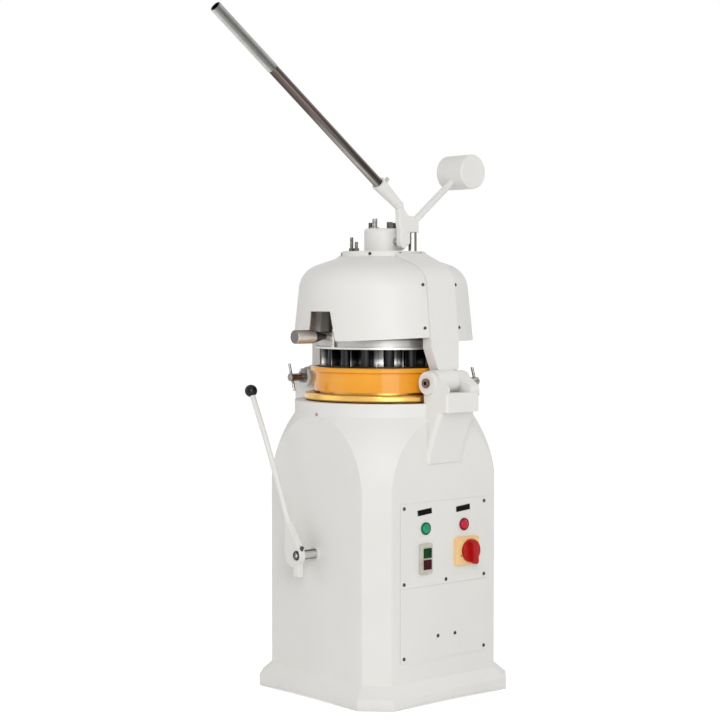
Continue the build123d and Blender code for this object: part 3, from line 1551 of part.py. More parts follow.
# Changeover handle on its stud, in front of the cover's cut-out
hub_low = handle_z - handle_hub_h / 2
with BuildPart() as changeover_stud:
    with BuildSketch(Plane.XY.offset(drum_low)):
        with Locations((0, hanger_y)):
            Circle(hanger_r)
    extrude(amount=handle_z + handle_hub_h - drum_low)
    with BuildSketch(Plane.XY.offset(drum_low)):
        with Locations((0, hanger_y)):
            Circle(hanger_collar_r)
    extrude(amount=hub_low - face_gap - drum_low)
changeover_stud.part.label = "changeover_stud"
export_step(changeover_stud.part, "parts/changeover_stud.step")

with BuildPart() as changeover_handle:
    with BuildSketch(Plane.XY.offset(hub_low)):
        with Locations((0, hanger_y)):
            Circle(handle_hub_r)
    extrude(amount=handle_hub_h)
    with BuildSketch(Plane.XZ.offset(-hanger_y)):
        with Locations((0, handle_z)):
            Circle(handle_neck_r)
    extrude(amount=handle_cone_start + hanger_y)
    with BuildSketch(Plane.XZ.offset(handle_cone_start)):
        with Locations((0, handle_z)):
            Circle(handle_neck_r)
    with BuildSketch(Plane.XZ.offset(handle_knob_start)):
        with Locations((0, handle_z)):
            Circle(handle_knob_r)
    loft()
    with BuildSketch(Plane.XZ.offset(handle_knob_start)):
        with Locations((0, handle_z)):
            Circle(handle_knob_r)
    extrude(amount=handle_knob_end - handle_knob_start)
    fillet(changeover_handle.faces().sort_by(Axis.Y)[0].edges(), hanger_r / 2)
    with BuildSketch(Plane.XY.offset(hub_low)):
        with Locations((0, hanger_y)):
            Circle(hanger_r + fit_gap)
    extrude(amount=handle_hub_h, mode=Mode.SUBTRACT)
changeover_handle.part.label = "changeover_handle"
export_step(changeover_handle.part, "parts/changeover_handle.step")

# Dust sleeve: a thin tube on the drum, round the column and the guide rods
with BuildPart() as dust_sleeve:
    with BuildSketch(Plane.XY.offset(drum_top)):
        Circle(dust_r)
        Circle(dust_r - dust_t, mode=Mode.SUBTRACT)
    extrude(amount=dust_top - drum_top)
dust_sleeve.part.label = "dust_sleeve"
export_step(dust_sleeve.part, "parts/dust_sleeve.step")
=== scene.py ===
# %% [markdown]
# This lesson dresses a dough divider rounder, a floor machine of a bakery. Its shapes come from a
# imported CAD model, so nothing here has to be fitted: every coordinate is in metres, X to the control
# side, Y to the back and Z up.

# %% Load the machine
import math

import bpy
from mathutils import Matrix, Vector


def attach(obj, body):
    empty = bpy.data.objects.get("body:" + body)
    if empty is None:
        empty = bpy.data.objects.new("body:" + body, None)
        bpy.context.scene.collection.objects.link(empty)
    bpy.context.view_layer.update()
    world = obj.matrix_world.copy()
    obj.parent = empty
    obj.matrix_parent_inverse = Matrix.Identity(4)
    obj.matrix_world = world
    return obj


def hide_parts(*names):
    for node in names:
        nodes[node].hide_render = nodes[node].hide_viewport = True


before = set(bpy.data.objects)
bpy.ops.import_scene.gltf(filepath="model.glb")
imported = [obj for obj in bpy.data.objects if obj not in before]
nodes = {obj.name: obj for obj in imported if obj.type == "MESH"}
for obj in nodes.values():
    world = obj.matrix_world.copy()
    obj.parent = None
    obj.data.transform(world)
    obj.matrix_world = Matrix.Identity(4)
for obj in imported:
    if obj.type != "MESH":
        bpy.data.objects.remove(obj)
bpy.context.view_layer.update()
scene = bpy.context.scene
scene.view_settings.view_transform = "Standard"
print("nodes loaded:", len(nodes))

# %% [markdown]
# The photograph was taken from the front right, about 5.8 m away, with a long lens. A camera that
# looks at a target point is easier to set than three rotation angles, so the rotation is worked out
# from the line of sight.

# %% Camera
eye = Vector((4.325, -3.866, 1.2795))
target = Vector((-0.0505, -0.0564, 1.0591))
camera_data = bpy.data.cameras.new("studio_camera")
camera_data.sensor_width = 36.0
camera_data.lens = 89.25
camera_data.clip_end = 100.0
camera = bpy.data.objects.new("studio_camera", camera_data)
camera.location = eye
camera.rotation_euler = (target - eye).to_track_quat("-Z", "Y").to_euler()
scene.collection.objects.link(camera)
scene.camera = camera
print("camera distance:", round((target - eye).length, 3))

# %% [markdown]
# The machine stands on a plain white floor in a bright studio. A world of even light gives soft
# shade everywhere. Camera, glossy and transmission rays see clean white instead of that light level,
# so the background stays white and the polished parts reflect it.

# %% World and floor
SEEN_WHITE = 1.0
AMBIENT = 0.54
FLOOR_GLOW = 0.56
FLOOR_REACH = 40.0


def seen_directly(tree):
    """One for camera, glossy and transmission rays, zero for the light that falls on surfaces."""
    path = tree.nodes.new("ShaderNodeLightPath")
    first = tree.nodes.new("ShaderNodeMath")
    first.operation = "MAXIMUM"
    second = tree.nodes.new("ShaderNodeMath")
    second.operation = "MAXIMUM"
    tree.links.new(path.outputs["Is Camera Ray"], first.inputs[0])
    tree.links.new(path.outputs["Is Glossy Ray"], first.inputs[1])
    tree.links.new(first.outputs[0], second.inputs[0])
    tree.links.new(path.outputs["Is Transmission Ray"], second.inputs[1])
    return second.outputs[0]


world = bpy.data.worlds.new("studio_world")
world.use_nodes = True
scene.world = world
sky = world.node_tree
sky_light = sky.nodes["Background"]
sky_light.inputs["Color"].default_value = (1.0, 0.992, 0.98, 1.0)
sky_light.inputs["Strength"].default_value = AMBIENT
sky_seen = sky.nodes.new("ShaderNodeBackground")
sky_seen.inputs["Color"].default_value = (1.0, 1.0, 1.0, 1.0)
sky_seen.inputs["Strength"].default_value = SEEN_WHITE
sky_mix = sky.nodes.new("ShaderNodeMixShader")
sky.links.new(seen_directly(sky), sky_mix.inputs[0])
sky.links.new(sky_light.outputs[0], sky_mix.inputs[1])
sky.links.new(sky_seen.outputs[0], sky_mix.inputs[2])
sky.links.new(sky_mix.outputs[0], sky.nodes["World Output"].inputs["Surface"])

floor_mesh = bpy.data.meshes.new("studio_floor")
corners = [(x * FLOOR_REACH, y * FLOOR_REACH, 0.0) for x, y in ((-1, -1), (1, -1), (1, 1), (-1, 1))]
floor_mesh.from_pydata(corners, [], [(0, 1, 2, 3)])
floor = bpy.data.objects.new("studio_floor", floor_mesh)
scene.collection.objects.link(floor)
floor_finish = bpy.data.materials.new("studio_floor_paint")
floor_finish.use_nodes = True
floor_shader = floor_finish.node_tree.nodes["Principled BSDF"]
floor_shader.inputs["Base Color"].default_value = (0.93, 0.925, 0.92, 1.0)
floor_shader.inputs["Roughness"].default_value = 0.85
floor_shader.inputs["Specular IOR Level"].default_value = 0.1
floor_shader.inputs["Emission Color"].default_value = (1.0, 1.0, 1.0, 1.0)
floor_lift = floor_finish.node_tree.nodes.new("ShaderNodeMath")
floor_lift.operation = "MULTIPLY"
floor_lift.inputs[1].default_value = FLOOR_GLOW
floor_finish.node_tree.links.new(seen_directly(floor_finish.node_tree), floor_lift.inputs[0])
floor_finish.node_tree.links.new(floor_lift.outputs[0], floor_shader.inputs["Emission Strength"])
floor_mesh.materials.append(floor_finish)
print("floor reach:", FLOOR_REACH)

# %% [markdown]
# Three large soft lamps model the shape: a key from the right of the camera, which lifts the cut
# corner and the control side, a weak fill from the front left and a rim from behind. Their size keeps
# the shadows soft, as in a light tent. A fourth lamp stands low at the right like a window. It lights
# no surface by itself and only shows as a glint in what is glossy.

# %% Lamps


def soft_lamp(name, place, aim, size, power, colour):
    """A square area lamp at place that faces aim."""
    data = bpy.data.lights.new(name, "AREA")
    data.shape = "SQUARE"
    data.size = size
    data.energy = power
    data.color = colour
    lamp = bpy.data.objects.new(name, data)
    lamp.location = place
    lamp.rotation_euler = (Vector(aim) - Vector(place)).to_track_quat("-Z", "Y").to_euler()
    scene.collection.objects.link(lamp)
    return lamp


soft_lamp("key_lamp", (4.0, -3.1, 2.7), (0.0, 0.0, 0.9), 2.4, 105.0, (1.0, 1.0, 0.985))
soft_lamp("fill_lamp", (-2.4, -3.6, 1.8), (0.0, 0.0, 0.8), 2.6, 12.0, (1.0, 0.96, 0.92))
soft_lamp("rim_lamp", (1.5, 3.8, 3.0), (0.0, 0.0, 1.1), 2.4, 24.0, (1.0, 1.0, 1.0))
window = soft_lamp("window_glint", (3.85, -2.4, 0.75), (0.0, 0.0, 0.95), 2.2, 18.0, (1.0, 1.0, 1.0))
window.data.shape = "RECTANGLE"
window.data.size_y = 0.9
window.visible_diffuse = False

# %% [markdown]
# Every finish below is made of nodes that read Object coordinates. The parts sit at the origin, so
# one unit of a texture is one metre and a pattern has its real size on each part. The helpers keep
# the node code short: most of them add a node, link it and return its output, and give puts a
# finished material on parts.

# %% Helpers for finishes


def give(finish, *names):
    """Puts a finish on CAD parts."""
    for name in names:
        nodes[name].data.materials.clear()
        nodes[name].data.materials.append(finish)


def new_finish(name, roughness=0.4, metallic=0.0):
    """A material, its tree, its shader and its Object coordinates."""
    finish = bpy.data.materials.new(name)
    finish.use_nodes = True
    tree = finish.node_tree
    shader = tree.nodes["Principled BSDF"]
    shader.inputs["Roughness"].default_value = roughness
    shader.inputs["Metallic"].default_value = metallic
    place = tree.nodes.new("ShaderNodeTexCoord")
    return finish, tree, shader, place.outputs["Object"]


def tone_of(shader):
    """The output that colours a finish so far."""
    return shader.inputs["Base Color"].links[0].from_socket


def turned(tree, vector, centre=(0, 0, 0), angles=(0, 0, 0), scale=(1, 1, 1)):
    """Coordinates measured from a centre, turned and stretched."""
    shift = tree.nodes.new("ShaderNodeVectorMath")
    shift.operation = "SUBTRACT"
    shift.inputs[1].default_value = centre
    tree.links.new(vector, shift.inputs[0])
    turn = tree.nodes.new("ShaderNodeMapping")
    turn.inputs["Rotation"].default_value = angles
    tree.links.new(shift.outputs[0], turn.inputs["Vector"])
    stretch = tree.nodes.new("ShaderNodeVectorMath")
    stretch.operation = "MULTIPLY"
    stretch.inputs[1].default_value = scale
    tree.links.new(turn.outputs[0], stretch.inputs[0])
    return stretch.outputs[0]


def noise(tree, vector, scale, detail=3.0, roughness=0.5):
    """Cloudy pattern between zero and one."""
    node = tree.nodes.new("ShaderNodeTexNoise")
    node.inputs["Scale"].default_value = scale
    node.inputs["Detail"].default_value = detail
    node.inputs["Roughness"].default_value = roughness
    tree.links.new(vector, node.inputs["Vector"])
    return node.outputs["Fac"]


def ramp(tree, value, *stops):
    """Colour from a value: each stop is a place and a colour or a grey."""
    node = tree.nodes.new("ShaderNodeValToRGB")
    marks = node.color_ramp.elements
    while len(marks) < len(stops):
        marks.new(0.5)
    for mark, (where, tint) in zip(marks, stops):
        mark.position = where
        mark.color = (*tint, 1.0) if isinstance(tint, tuple) else (tint, tint, tint, 1.0)
    tree.links.new(value, node.inputs[0])
    return node.outputs[0]


def blend(tree, kind, amount, first, second):
    """Mixes two colours by a value or by the output of another node."""
    node = tree.nodes.new("ShaderNodeMix")
    node.data_type = "RGBA"
    node.blend_type = kind
    if isinstance(amount, float):
        node.inputs["Factor"].default_value = amount
    else:
        tree.links.new(amount, node.inputs["Factor"])
    for socket, colour in ((node.inputs[6], first), (node.inputs[7], second)):
        if isinstance(colour, tuple):
            socket.default_value = (*colour, 1.0)
        else:
            tree.links.new(colour, socket)
    return node.outputs[2]


def math_node(tree, kind, first, second=0.0):
    """One step of arithmetic on values or outputs."""
    node = tree.nodes.new("ShaderNodeMath")
    node.operation = kind
    for socket, value in zip(node.inputs, (first, second)):
        if isinstance(value, (int, float)):
            socket.default_value = value
        else:
            tree.links.new(value, socket)
    return node.outputs[0]


def split_xyz(tree, vector):
    """The three coordinates apart."""
    node = tree.nodes.new("ShaderNodeSeparateXYZ")
    tree.links.new(vector, node.inputs[0])
    return node.outputs


def axis_distance(tree, x, y):
    """How far a point is from the Z axis."""
    squares = [math_node(tree, "MULTIPLY", side, side) for side in (x, y)]
    return math_node(tree, "SQRT", math_node(tree, "ADD", *squares))


def reach_along(tree, vector, direction):
    """How far the coordinates reach along a direction."""
    node = tree.nodes.new("ShaderNodeVectorMath")
    node.operation = "DOT_PRODUCT"
    node.inputs[1].default_value = direction
    tree.links.new(vector, node.inputs[0])
    return node.outputs["Value"]


def between(tree, value, low, high):
    """Zero at low, one at high."""
    return math_node(tree, "MULTIPLY", math_node(tree, "SUBTRACT", value, low), 1.0 / (high - low))


def relief(tree, height, strength, distance, under=None):
    """A bump of a real height in metres, on top of another bump if there is one."""
    node = tree.nodes.new("ShaderNodeBump")
    node.inputs["Strength"].default_value = strength
    node.inputs["Distance"].default_value = distance
    tree.links.new(height, node.inputs["Height"])
    if under is not None:
        tree.links.new(under, node.inputs["Normal"])
    return node.outputs[0]


def painted_shade_mask(tree, reach, samples=8):
    """Ambient occlusion as a mask for painted shade: dark in corners and seams, light on open surfaces."""
    node = tree.nodes.new("ShaderNodeAmbientOcclusion")
    node.samples = samples
    node.inputs["Distance"].default_value = reach
    return node.outputs["AO"]


print("helpers ready")

# %% [markdown]
# Most of the machine is cast iron and sheet steel under one off-white enamel. Real enamel on a
# casting isn't flat: the casting waves a little, the paint has a fine orange peel and the foot is
# scuffed by mops and shoes. Noise at two sizes makes the relief, an ambient occlusion node finds the
# seams, which get painted shade, and the height above the floor limits the scuffs.

# %% Off-white enamel


def enamel(name, wave, peel, gloss, painted_shading=1.0):
    """Off-white paint with casting waves and orange peel, both in metres."""
    finish, tree, shader, place = new_finish(name)
    cloud = noise(tree, place, 2.6, 4.0)
    tone = ramp(tree, cloud, (0.3, (0.760, 0.755, 0.735)), (0.7, (0.806, 0.804, 0.786)))
    # Painted shade: seams and corners are darkened to brown grey by the ambient occlusion mask.
    seam_shade = ramp(tree, painted_shade_mask(tree, 0.035), (0.18, 0.0), (0.62, 1.0))
    tone = blend(tree, "MIX", seam_shade, (0.46, 0.435, 0.40), tone)
    height = split_xyz(tree, place)[2]
    low = ramp(tree, math_node(tree, "MULTIPLY", height, 4.0), (0.0, 1.0), (0.55, 0.0))
    scuff = math_node(tree, "MULTIPLY", noise(tree, place, 34.0, 6.0, 0.7), low)
    scuff = ramp(tree, scuff, (0.42, 0.0), (0.80, 0.22))
    tone = blend(tree, "MIX", scuff, tone, (0.52, 0.50, 0.47))
    # Painted shade: the whole finish is darkened by a factor, which the rear cover uses.
    tone = blend(tree, "MULTIPLY", 1.0, tone, (painted_shading, painted_shading, painted_shading))
    tree.links.new(tone, shader.inputs["Base Color"])
    shine = ramp(tree, noise(tree, place, 9.0, 3.0), (0.3, gloss), (0.75, gloss + 0.12))
    tree.links.new(shine, shader.inputs["Roughness"])
    waves = relief(tree, noise(tree, place, 16.0, 2.0), 0.35, wave)
    skin = relief(tree, noise(tree, place, 620.0, 2.0), 0.25, peel, waves)
    tree.links.new(skin, shader.inputs["Normal"])
    shader.inputs["Coat Weight"].default_value = 0.04
    shader.inputs["Coat Roughness"].default_value = 0.3
    return finish


CAST_WAVE, CAST_PEEL, CAST_GLOSS = 0.0016, 0.00012, 0.48
SHEET_WAVE, SHEET_PEEL, SHEET_GLOSS = 0.0007, 0.00008, 0.46
cast_enamel = enamel("cast_enamel", CAST_WAVE, CAST_PEEL, CAST_GLOSS)
sheet_enamel = enamel("sheet_enamel", SHEET_WAVE, SHEET_PEEL, SHEET_GLOSS)
# The rear cover is the same enamel 6 percent darker, as painted shade.
rear_enamel = enamel("rear_enamel", SHEET_WAVE, SHEET_PEEL, SHEET_GLOSS, painted_shading=0.94)
give(
    cast_enamel, "base_housing", "right_bracket", "left_bracket", "yoke", "gear_boss", "gear_cap",
    "lever_casting", "counterweight", "round_arm", "round_bush",
)
give(sheet_enamel, "control_panel", "access_panel")
give(rear_enamel, "rear_cover")
print("enamel finishes:", cast_enamel.name, sheet_enamel.name, rear_enamel.name)

# %% [markdown]
# The front cover has the same enamel outside, but its inside, which shows through the cut-out, is
# only primed in brown grey. The inside is the side nearer to the axis, so the distance from the axis,
# corrected for the slope of the cover's wall, makes the mask.

# %% Front cover
COVER_FOOT_Z = 1.129
COVER_FOOT_RADIUS = 0.291
COVER_SHOULDER_Z = 1.349
COVER_SHOULDER_RADIUS = 0.268
SIDE_SLOPE = (COVER_FOOT_RADIUS - COVER_SHOULDER_RADIUS) / (COVER_SHOULDER_Z - COVER_FOOT_Z)
MID_WALL_RADIUS = 0.2895
PRIMER_TOP_Z = 1.28

cover_enamel = enamel("cover_enamel", SHEET_WAVE, SHEET_PEEL, SHEET_GLOSS)
tree = cover_enamel.node_tree
shader = tree.nodes["Principled BSDF"]
outside = tone_of(shader)
place = tree.nodes["Texture Coordinate"].outputs["Object"]
x, y, z = split_xyz(tree, place)
lean = math_node(tree, "MULTIPLY", math_node(tree, "SUBTRACT", z, COVER_FOOT_Z), SIDE_SLOPE)
level = math_node(tree, "ADD", axis_distance(tree, x, y), lean)
inner = math_node(tree, "LESS_THAN", level, MID_WALL_RADIUS)
inside = math_node(tree, "MULTIPLY", inner, math_node(tree, "LESS_THAN", z, PRIMER_TOP_Z))
primer = ramp(tree, noise(tree, place, 30.0, 4.0), (0.3, (0.52, 0.455, 0.405)), (0.7, (0.64, 0.57, 0.51)))
tree.links.new(blend(tree, "MIX", inside, outside, primer), shader.inputs["Base Color"])
give(cover_enamel, "front_cover")
print("cover finish:", cover_enamel.name)

# %% [markdown]
# Turned metal shows fine rings where the tool went round, and ground metal shows straight lines.
# Both are stretched noise: rings are noise over the distance from the axis of the part, which is worked
# out from the coordinates, and lines are noise that is squeezed across the grain.

# %% Metal helper


def ring_lines(tree, vector, pitch):
    """Fine rings round the Z axis of these coordinates, one every pitch metres, slightly uneven."""
    x, y, z = split_xyz(tree, vector)
    along = math_node(tree, "ADD", axis_distance(tree, x, y), z)
    stretch = tree.nodes.new("ShaderNodeCombineXYZ")
    tree.links.new(along, stretch.inputs[0])
    return noise(tree, stretch.outputs[0], 1.0 / pitch, 2.0, 0.6)


def straight_lines(scale, detail=4.0):
    """Lines of a ground or drawn surface: noise with its own scale along each axis."""
    return lambda tree, place: noise(tree, turned(tree, place, scale=scale), 1.0, detail)


def metal(name, dark, light, rough, lines=None, seam_shade_tone=0.35, cloudy=0.78):
    """Bare metal: two tones along its lines, with painted shade in the seams."""
    finish, tree, shader, place = new_finish(name, metallic=1.0)
    pattern = lines(tree, place) if lines else noise(tree, place, 140.0, 4.0)
    tone = ramp(tree, pattern, (0.25, dark), (0.75, light))
    cloud = ramp(tree, noise(tree, place, 22.0, 5.0, 0.6), (0.3, cloudy), (0.7, 1.0))
    tone = blend(tree, "MULTIPLY", 1.0, tone, cloud)
    # Painted shade: the seams are darkened by the ambient occlusion mask.
    seam_shade = ramp(tree, painted_shade_mask(tree, 0.02), (0.15, seam_shade_tone), (0.7, 1.0))
    tone = blend(tree, "MULTIPLY", 1.0, tone, seam_shade)
    tree.links.new(tone, shader.inputs["Base Color"])
    shine = ramp(tree, pattern, (0.2, rough[1]), (0.8, rough[0]))
    tree.links.new(shine, shader.inputs["Roughness"])
    tree.links.new(relief(tree, pattern, 0.25, 0.00012), shader.inputs["Normal"])
    return finish, tree, shader, place


print("metal helper ready")

# %% [markdown]
# The table disc is steel with yellow zinc plating, which is gold in two tones. The press drum is turned
# steel, and its lower rim is polished. The cover keeps the light off the drum, so a ramp over the height
# darkens it above the rim.

# %% Table disc and press drum
TABLE_CENTRE = (0.005, 0, 0)
GOLD_PITCH = 0.0016
DRUM_PITCH = 0.0012
DRUM_FOOT_Z, DRUM_SHADE_Z = 1.095, 1.145

gold_plate, *_ = metal(
    "gold_plate", (0.66, 0.36, 0.075), (0.94, 0.63, 0.20), (0.20, 0.36),
    lambda tree, place: ring_lines(tree, turned(tree, place, TABLE_CENTRE), GOLD_PITCH), 0.75, 0.9,
)
give(gold_plate, "table_disc")

drum_steel, tree, shader, place = metal(
    "drum_steel", (0.66, 0.65, 0.63), (0.86, 0.85, 0.83), (0.36, 0.48),
    lambda tree, place: ring_lines(tree, place, DRUM_PITCH), 0.85, 0.92,
)
shader.inputs["Metallic"].default_value = 0.75
tone = tone_of(shader)
height = between(tree, split_xyz(tree, place)[2], DRUM_FOOT_Z, DRUM_SHADE_Z)
# Painted shade: the drum is darkened above its rim, where the cover keeps the light off.
painted_shade_ramp = ramp(tree, height, (0.20, 1.0), (0.22, 0.82), (0.60, 0.70), (0.70, 0.30))
tree.links.new(blend(tree, "MULTIPLY", 1.0, tone, painted_shade_ramp), shader.inputs["Base Color"])
give(drum_steel, "press_drum")
print("turned metals:", gold_plate.name, drum_steel.name)

# %% [markdown]
# The handle of the changeover and the shaft of the rounding lever are round bars that lie level. Polished
# bars mirror the room in bands along their length, and a ramp over the height paints such bands as painted
# reflections. A second ramp along the handle darkens its cone, which lies under the cover, as painted
# shade, and a mask at the front makes the end face of each bar dark.

# %% Handle and shaft
KNOB_LOW_Z, KNOB_HIGH_Z = 1.1185, 1.1615
CONE_FRONT_Y, CONE_BACK_Y = -0.300, -0.240
KNOB_END_Y = -0.3704
SHAFT_LOW_Z, SHAFT_HIGH_Z = 0.440, 0.470
SHAFT_END_Y = -0.3655

ground_steel, *_ = metal(
    "ground_steel", (0.34, 0.32, 0.30), (0.62, 0.60, 0.57), (0.22, 0.40),
    straight_lines((260, 12, 260)),
)
give(ground_steel, "guide_rods", "pinion_shaft", "changeover_stud", "crank_shaft", "crank_bearings")

knob_steel, tree, shader, place = metal(
    "knob_steel", (0.74, 0.70, 0.66), (0.97, 0.95, 0.92), (0.30, 0.42),
    straight_lines((300, 16, 300)), 0.8, 0.92,
)
shader.inputs["Metallic"].default_value = 0.6
tone = tone_of(shader)
_, y, z = split_xyz(tree, place)
# Painted reflection: light and dark bands over the height of the handle.
painted_shading = ramp(
    tree, between(tree, z, KNOB_LOW_Z, KNOB_HIGH_Z),
    (0.02, (0.42, 0.37, 0.33)), (0.14, (0.66, 0.61, 0.56)), (0.36, (0.92, 0.89, 0.85)),
    (0.62, (0.62, 0.57, 0.53)), (0.86, (0.40, 0.36, 0.33)), (0.98, (0.16, 0.14, 0.13)),
)
tone = blend(tree, "MULTIPLY", 1.0, tone, painted_shading)
on_cone = between(tree, y, CONE_FRONT_Y, CONE_BACK_Y)
# Painted shade: the cone under the cover is darkened.
painted_cone_shade = ramp(tree, on_cone, (0.03, 1.0), (0.10, 0.14), (0.85, 0.10), (0.97, 0.9))
tone = blend(tree, "MULTIPLY", 1.0, tone, painted_cone_shade)
end_face = math_node(tree, "LESS_THAN", y, KNOB_END_Y)
tree.links.new(blend(tree, "MIX", end_face, tone, (0.15, 0.145, 0.145)), shader.inputs["Base Color"])
give(knob_steel, "changeover_handle")

shaft_chrome, tree, shader, place = metal(
    "shaft_chrome", (0.70, 0.695, 0.68), (0.95, 0.945, 0.93), (0.16, 0.32),
    straight_lines((260, 10, 260)), 0.8, 0.9,
)
tone = tone_of(shader)
_, y, z = split_xyz(tree, place)
# Painted reflection: light and dark bands over the height of the shaft.
painted_shading = ramp(
    tree, between(tree, z, SHAFT_LOW_Z, SHAFT_HIGH_Z),
    (0.03, 0.07), (0.12, 0.22), (0.22, 0.84), (0.66, 0.95), (0.84, 0.70), (0.94, 0.12),
)
tone = blend(tree, "MULTIPLY", 1.0, tone, painted_shading)
end_face = math_node(tree, "LESS_THAN", y, SHAFT_END_Y)
tree.links.new(blend(tree, "MIX", end_face, tone, (0.035, 0.032, 0.030)), shader.inputs["Base Color"])
give(shaft_chrome, "round_shaft")
print("bars:", ground_steel.name, knob_steel.name, shaft_chrome.name)

# %% [markdown]
# The left pin's cross bar, which is whatever lies outside the radius of its shank, is painted brighter
# than the shank as a painted highlight. The knives are bright at their edges and painted darker above
# them as painted shade. The other steels are plain.

# %% Pin, sleeve, knives and plain steels
PIN_Z = 0.997
PIN_SHANK_RADIUS = 0.0185
BLADE_EDGE_Z, BLADE_BACK_Z = 1.030, 1.130

pin_steel, tree, shader, place = metal(
    "pin_steel", (0.13, 0.122, 0.115), (0.42, 0.405, 0.39), (0.24, 0.42),
    straight_lines((240, 40, 240)),
)
tone = tone_of(shader)
above = math_node(tree, "SUBTRACT", split_xyz(tree, place)[2], PIN_Z)
bar = math_node(tree, "GREATER_THAN", math_node(tree, "ABSOLUTE", above), PIN_SHANK_RADIUS)
# Painted highlight: the cross bar is the same steel made brighter.
painted_bar_highlight = blend(tree, "MULTIPLY", 1.0, tone, (1.7, 1.7, 1.7))
tree.links.new(blend(tree, "MIX", bar, tone, painted_bar_highlight), shader.inputs["Base Color"])
give(pin_steel, "left_lock_pin")

sleeve_steel, *_ = metal(
    "sleeve_steel", (0.10, 0.085, 0.072), (0.25, 0.225, 0.20), (0.30, 0.48),
    straight_lines((420, 420, 10), 3.0),
)
give(sleeve_steel, "dust_sleeve")

blade_steel, tree, shader, place = metal(
    "blade_steel", (0.52, 0.52, 0.52), (0.86, 0.86, 0.85), (0.16, 0.30),
    straight_lines((420, 420, 14), 3.0), 0.10,
)
tone = tone_of(shader)
height = between(tree, split_xyz(tree, place)[2], BLADE_EDGE_Z, BLADE_BACK_Z)
# Painted shade: the knives are darkened above their edges.
painted_shade_ramp = ramp(tree, height, (0.26, 1.0), (0.40, 0.22), (0.70, 0.10))
tree.links.new(blend(tree, "MULTIPLY", 1.0, tone, painted_shade_ramp), shader.inputs["Base Color"])
give(blade_steel, "knife_set")

rack_steel, *_ = metal("rack_steel", (0.28, 0.265, 0.25), (0.52, 0.50, 0.48), (0.26, 0.42))
give(rack_steel, "rack_column")

dark_steel, *_ = metal("dark_steel", (0.045, 0.042, 0.040), (0.14, 0.13, 0.12), (0.30, 0.50))
give(
    dark_steel, "boss_bolts", "adjusting_studs", "panel_screws", "cover_screws", "arm_set_screw",
    "motor_shelf", "bottom_plate",
)
bolt_steel, *_ = metal("bolt_steel", (0.42, 0.415, 0.41), (0.70, 0.695, 0.685), (0.24, 0.40))
give(bolt_steel, "tube_screw")
print("metal finishes:", len([m for m in bpy.data.materials if m.name.endswith(("steel", "plate"))]))

# %% [markdown]
# The right hinge pin is the same steel as the left one, but its front end, in the ear's boss, is
# brown with old grease. A mask from the Y coordinate paints that end only.

# %% Hinge pin with a greasy end
GREASE_END_Y = -0.0797
hinge_steel, tree, shader, place = metal(
    "hinge_steel", (0.13, 0.122, 0.115), (0.42, 0.405, 0.39), (0.24, 0.42),
    straight_lines((240, 40, 240)),
)
old_tone = tone_of(shader)
front_end = math_node(tree, "LESS_THAN", split_xyz(tree, place)[1], GREASE_END_Y)
smear = noise(tree, place, 160.0, 5.0, 0.7)
grease = ramp(tree, smear, (0.3, (0.085, 0.050, 0.040)), (0.75, (0.27, 0.185, 0.145)))
tree.links.new(blend(tree, "MIX", front_end, old_tone, grease), shader.inputs["Base Color"])
give(hinge_steel, "right_hinge_pin")
print("hinge pin:", hinge_steel.name)

# %% [markdown]
# The lever tube leans 37.6 degrees. Turning the coordinates by the rest of the right angle about X
# puts their Z axis along the tube, and noise that is squeezed across it and stretched along it gives
# drawing lines. Its old chrome has gone brown, and bands of painted reflection run along it: near the
# grip dark edges with one pale line, near the socket a dark upper half over a bright lower one. A ramp
# runs across the tube for each end, and the distance from the socket blends the two.

# %% Lever tube
SLOPE = math.radians(37.6)
MOUTH = (0.105, -0.116, 1.623)
TUBE_RADIUS = 0.0163
TUBE_WAVER = 0.006
SIDEWAYS, UPWARDS = 0.40, 0.916
SOCKET_LOOK_END, GRIP_LOOK_START = 0.10, 0.36


def along_tube(tree, place, scale):
    """Coordinates with Z along the lever tube."""
    return turned(tree, place, MOUTH, (SLOPE - math.pi / 2, 0, 0), scale)


def across_tube(tree, place, waver):
    """Zero at the lower edge of the tube, one at the upper edge, seen from the front right."""
    side = (SIDEWAYS, UPWARDS * math.sin(SLOPE), UPWARDS * math.cos(SLOPE))
    offset = reach_along(tree, turned(tree, place, MOUTH), side)
    uneven = math_node(tree, "MULTIPLY", math_node(tree, "SUBTRACT", waver, 0.5), TUBE_WAVER)
    return between(tree, math_node(tree, "ADD", offset, uneven), -TUBE_RADIUS, TUBE_RADIUS)


tube_chrome, tree, shader, place = new_finish("tube_chrome", metallic=1.0)
streak = noise(tree, along_tube(tree, place, (170, 170, 1.2)), 1.0, 4.0, 0.6)
across = across_tube(tree, place, streak)
# Painted reflection: bands across the tube near the grip.
grip_end_reflection = ramp(
    tree, across, (0.02, (0.030, 0.024, 0.022)), (0.20, (0.115, 0.089, 0.078)), (0.46, (0.135, 0.106, 0.094)),
    (0.53, (0.26, 0.235, 0.22)), (0.60, (0.11, 0.086, 0.076)), (0.80, (0.058, 0.045, 0.040)),
    (0.97, (0.13, 0.11, 0.10)),
)
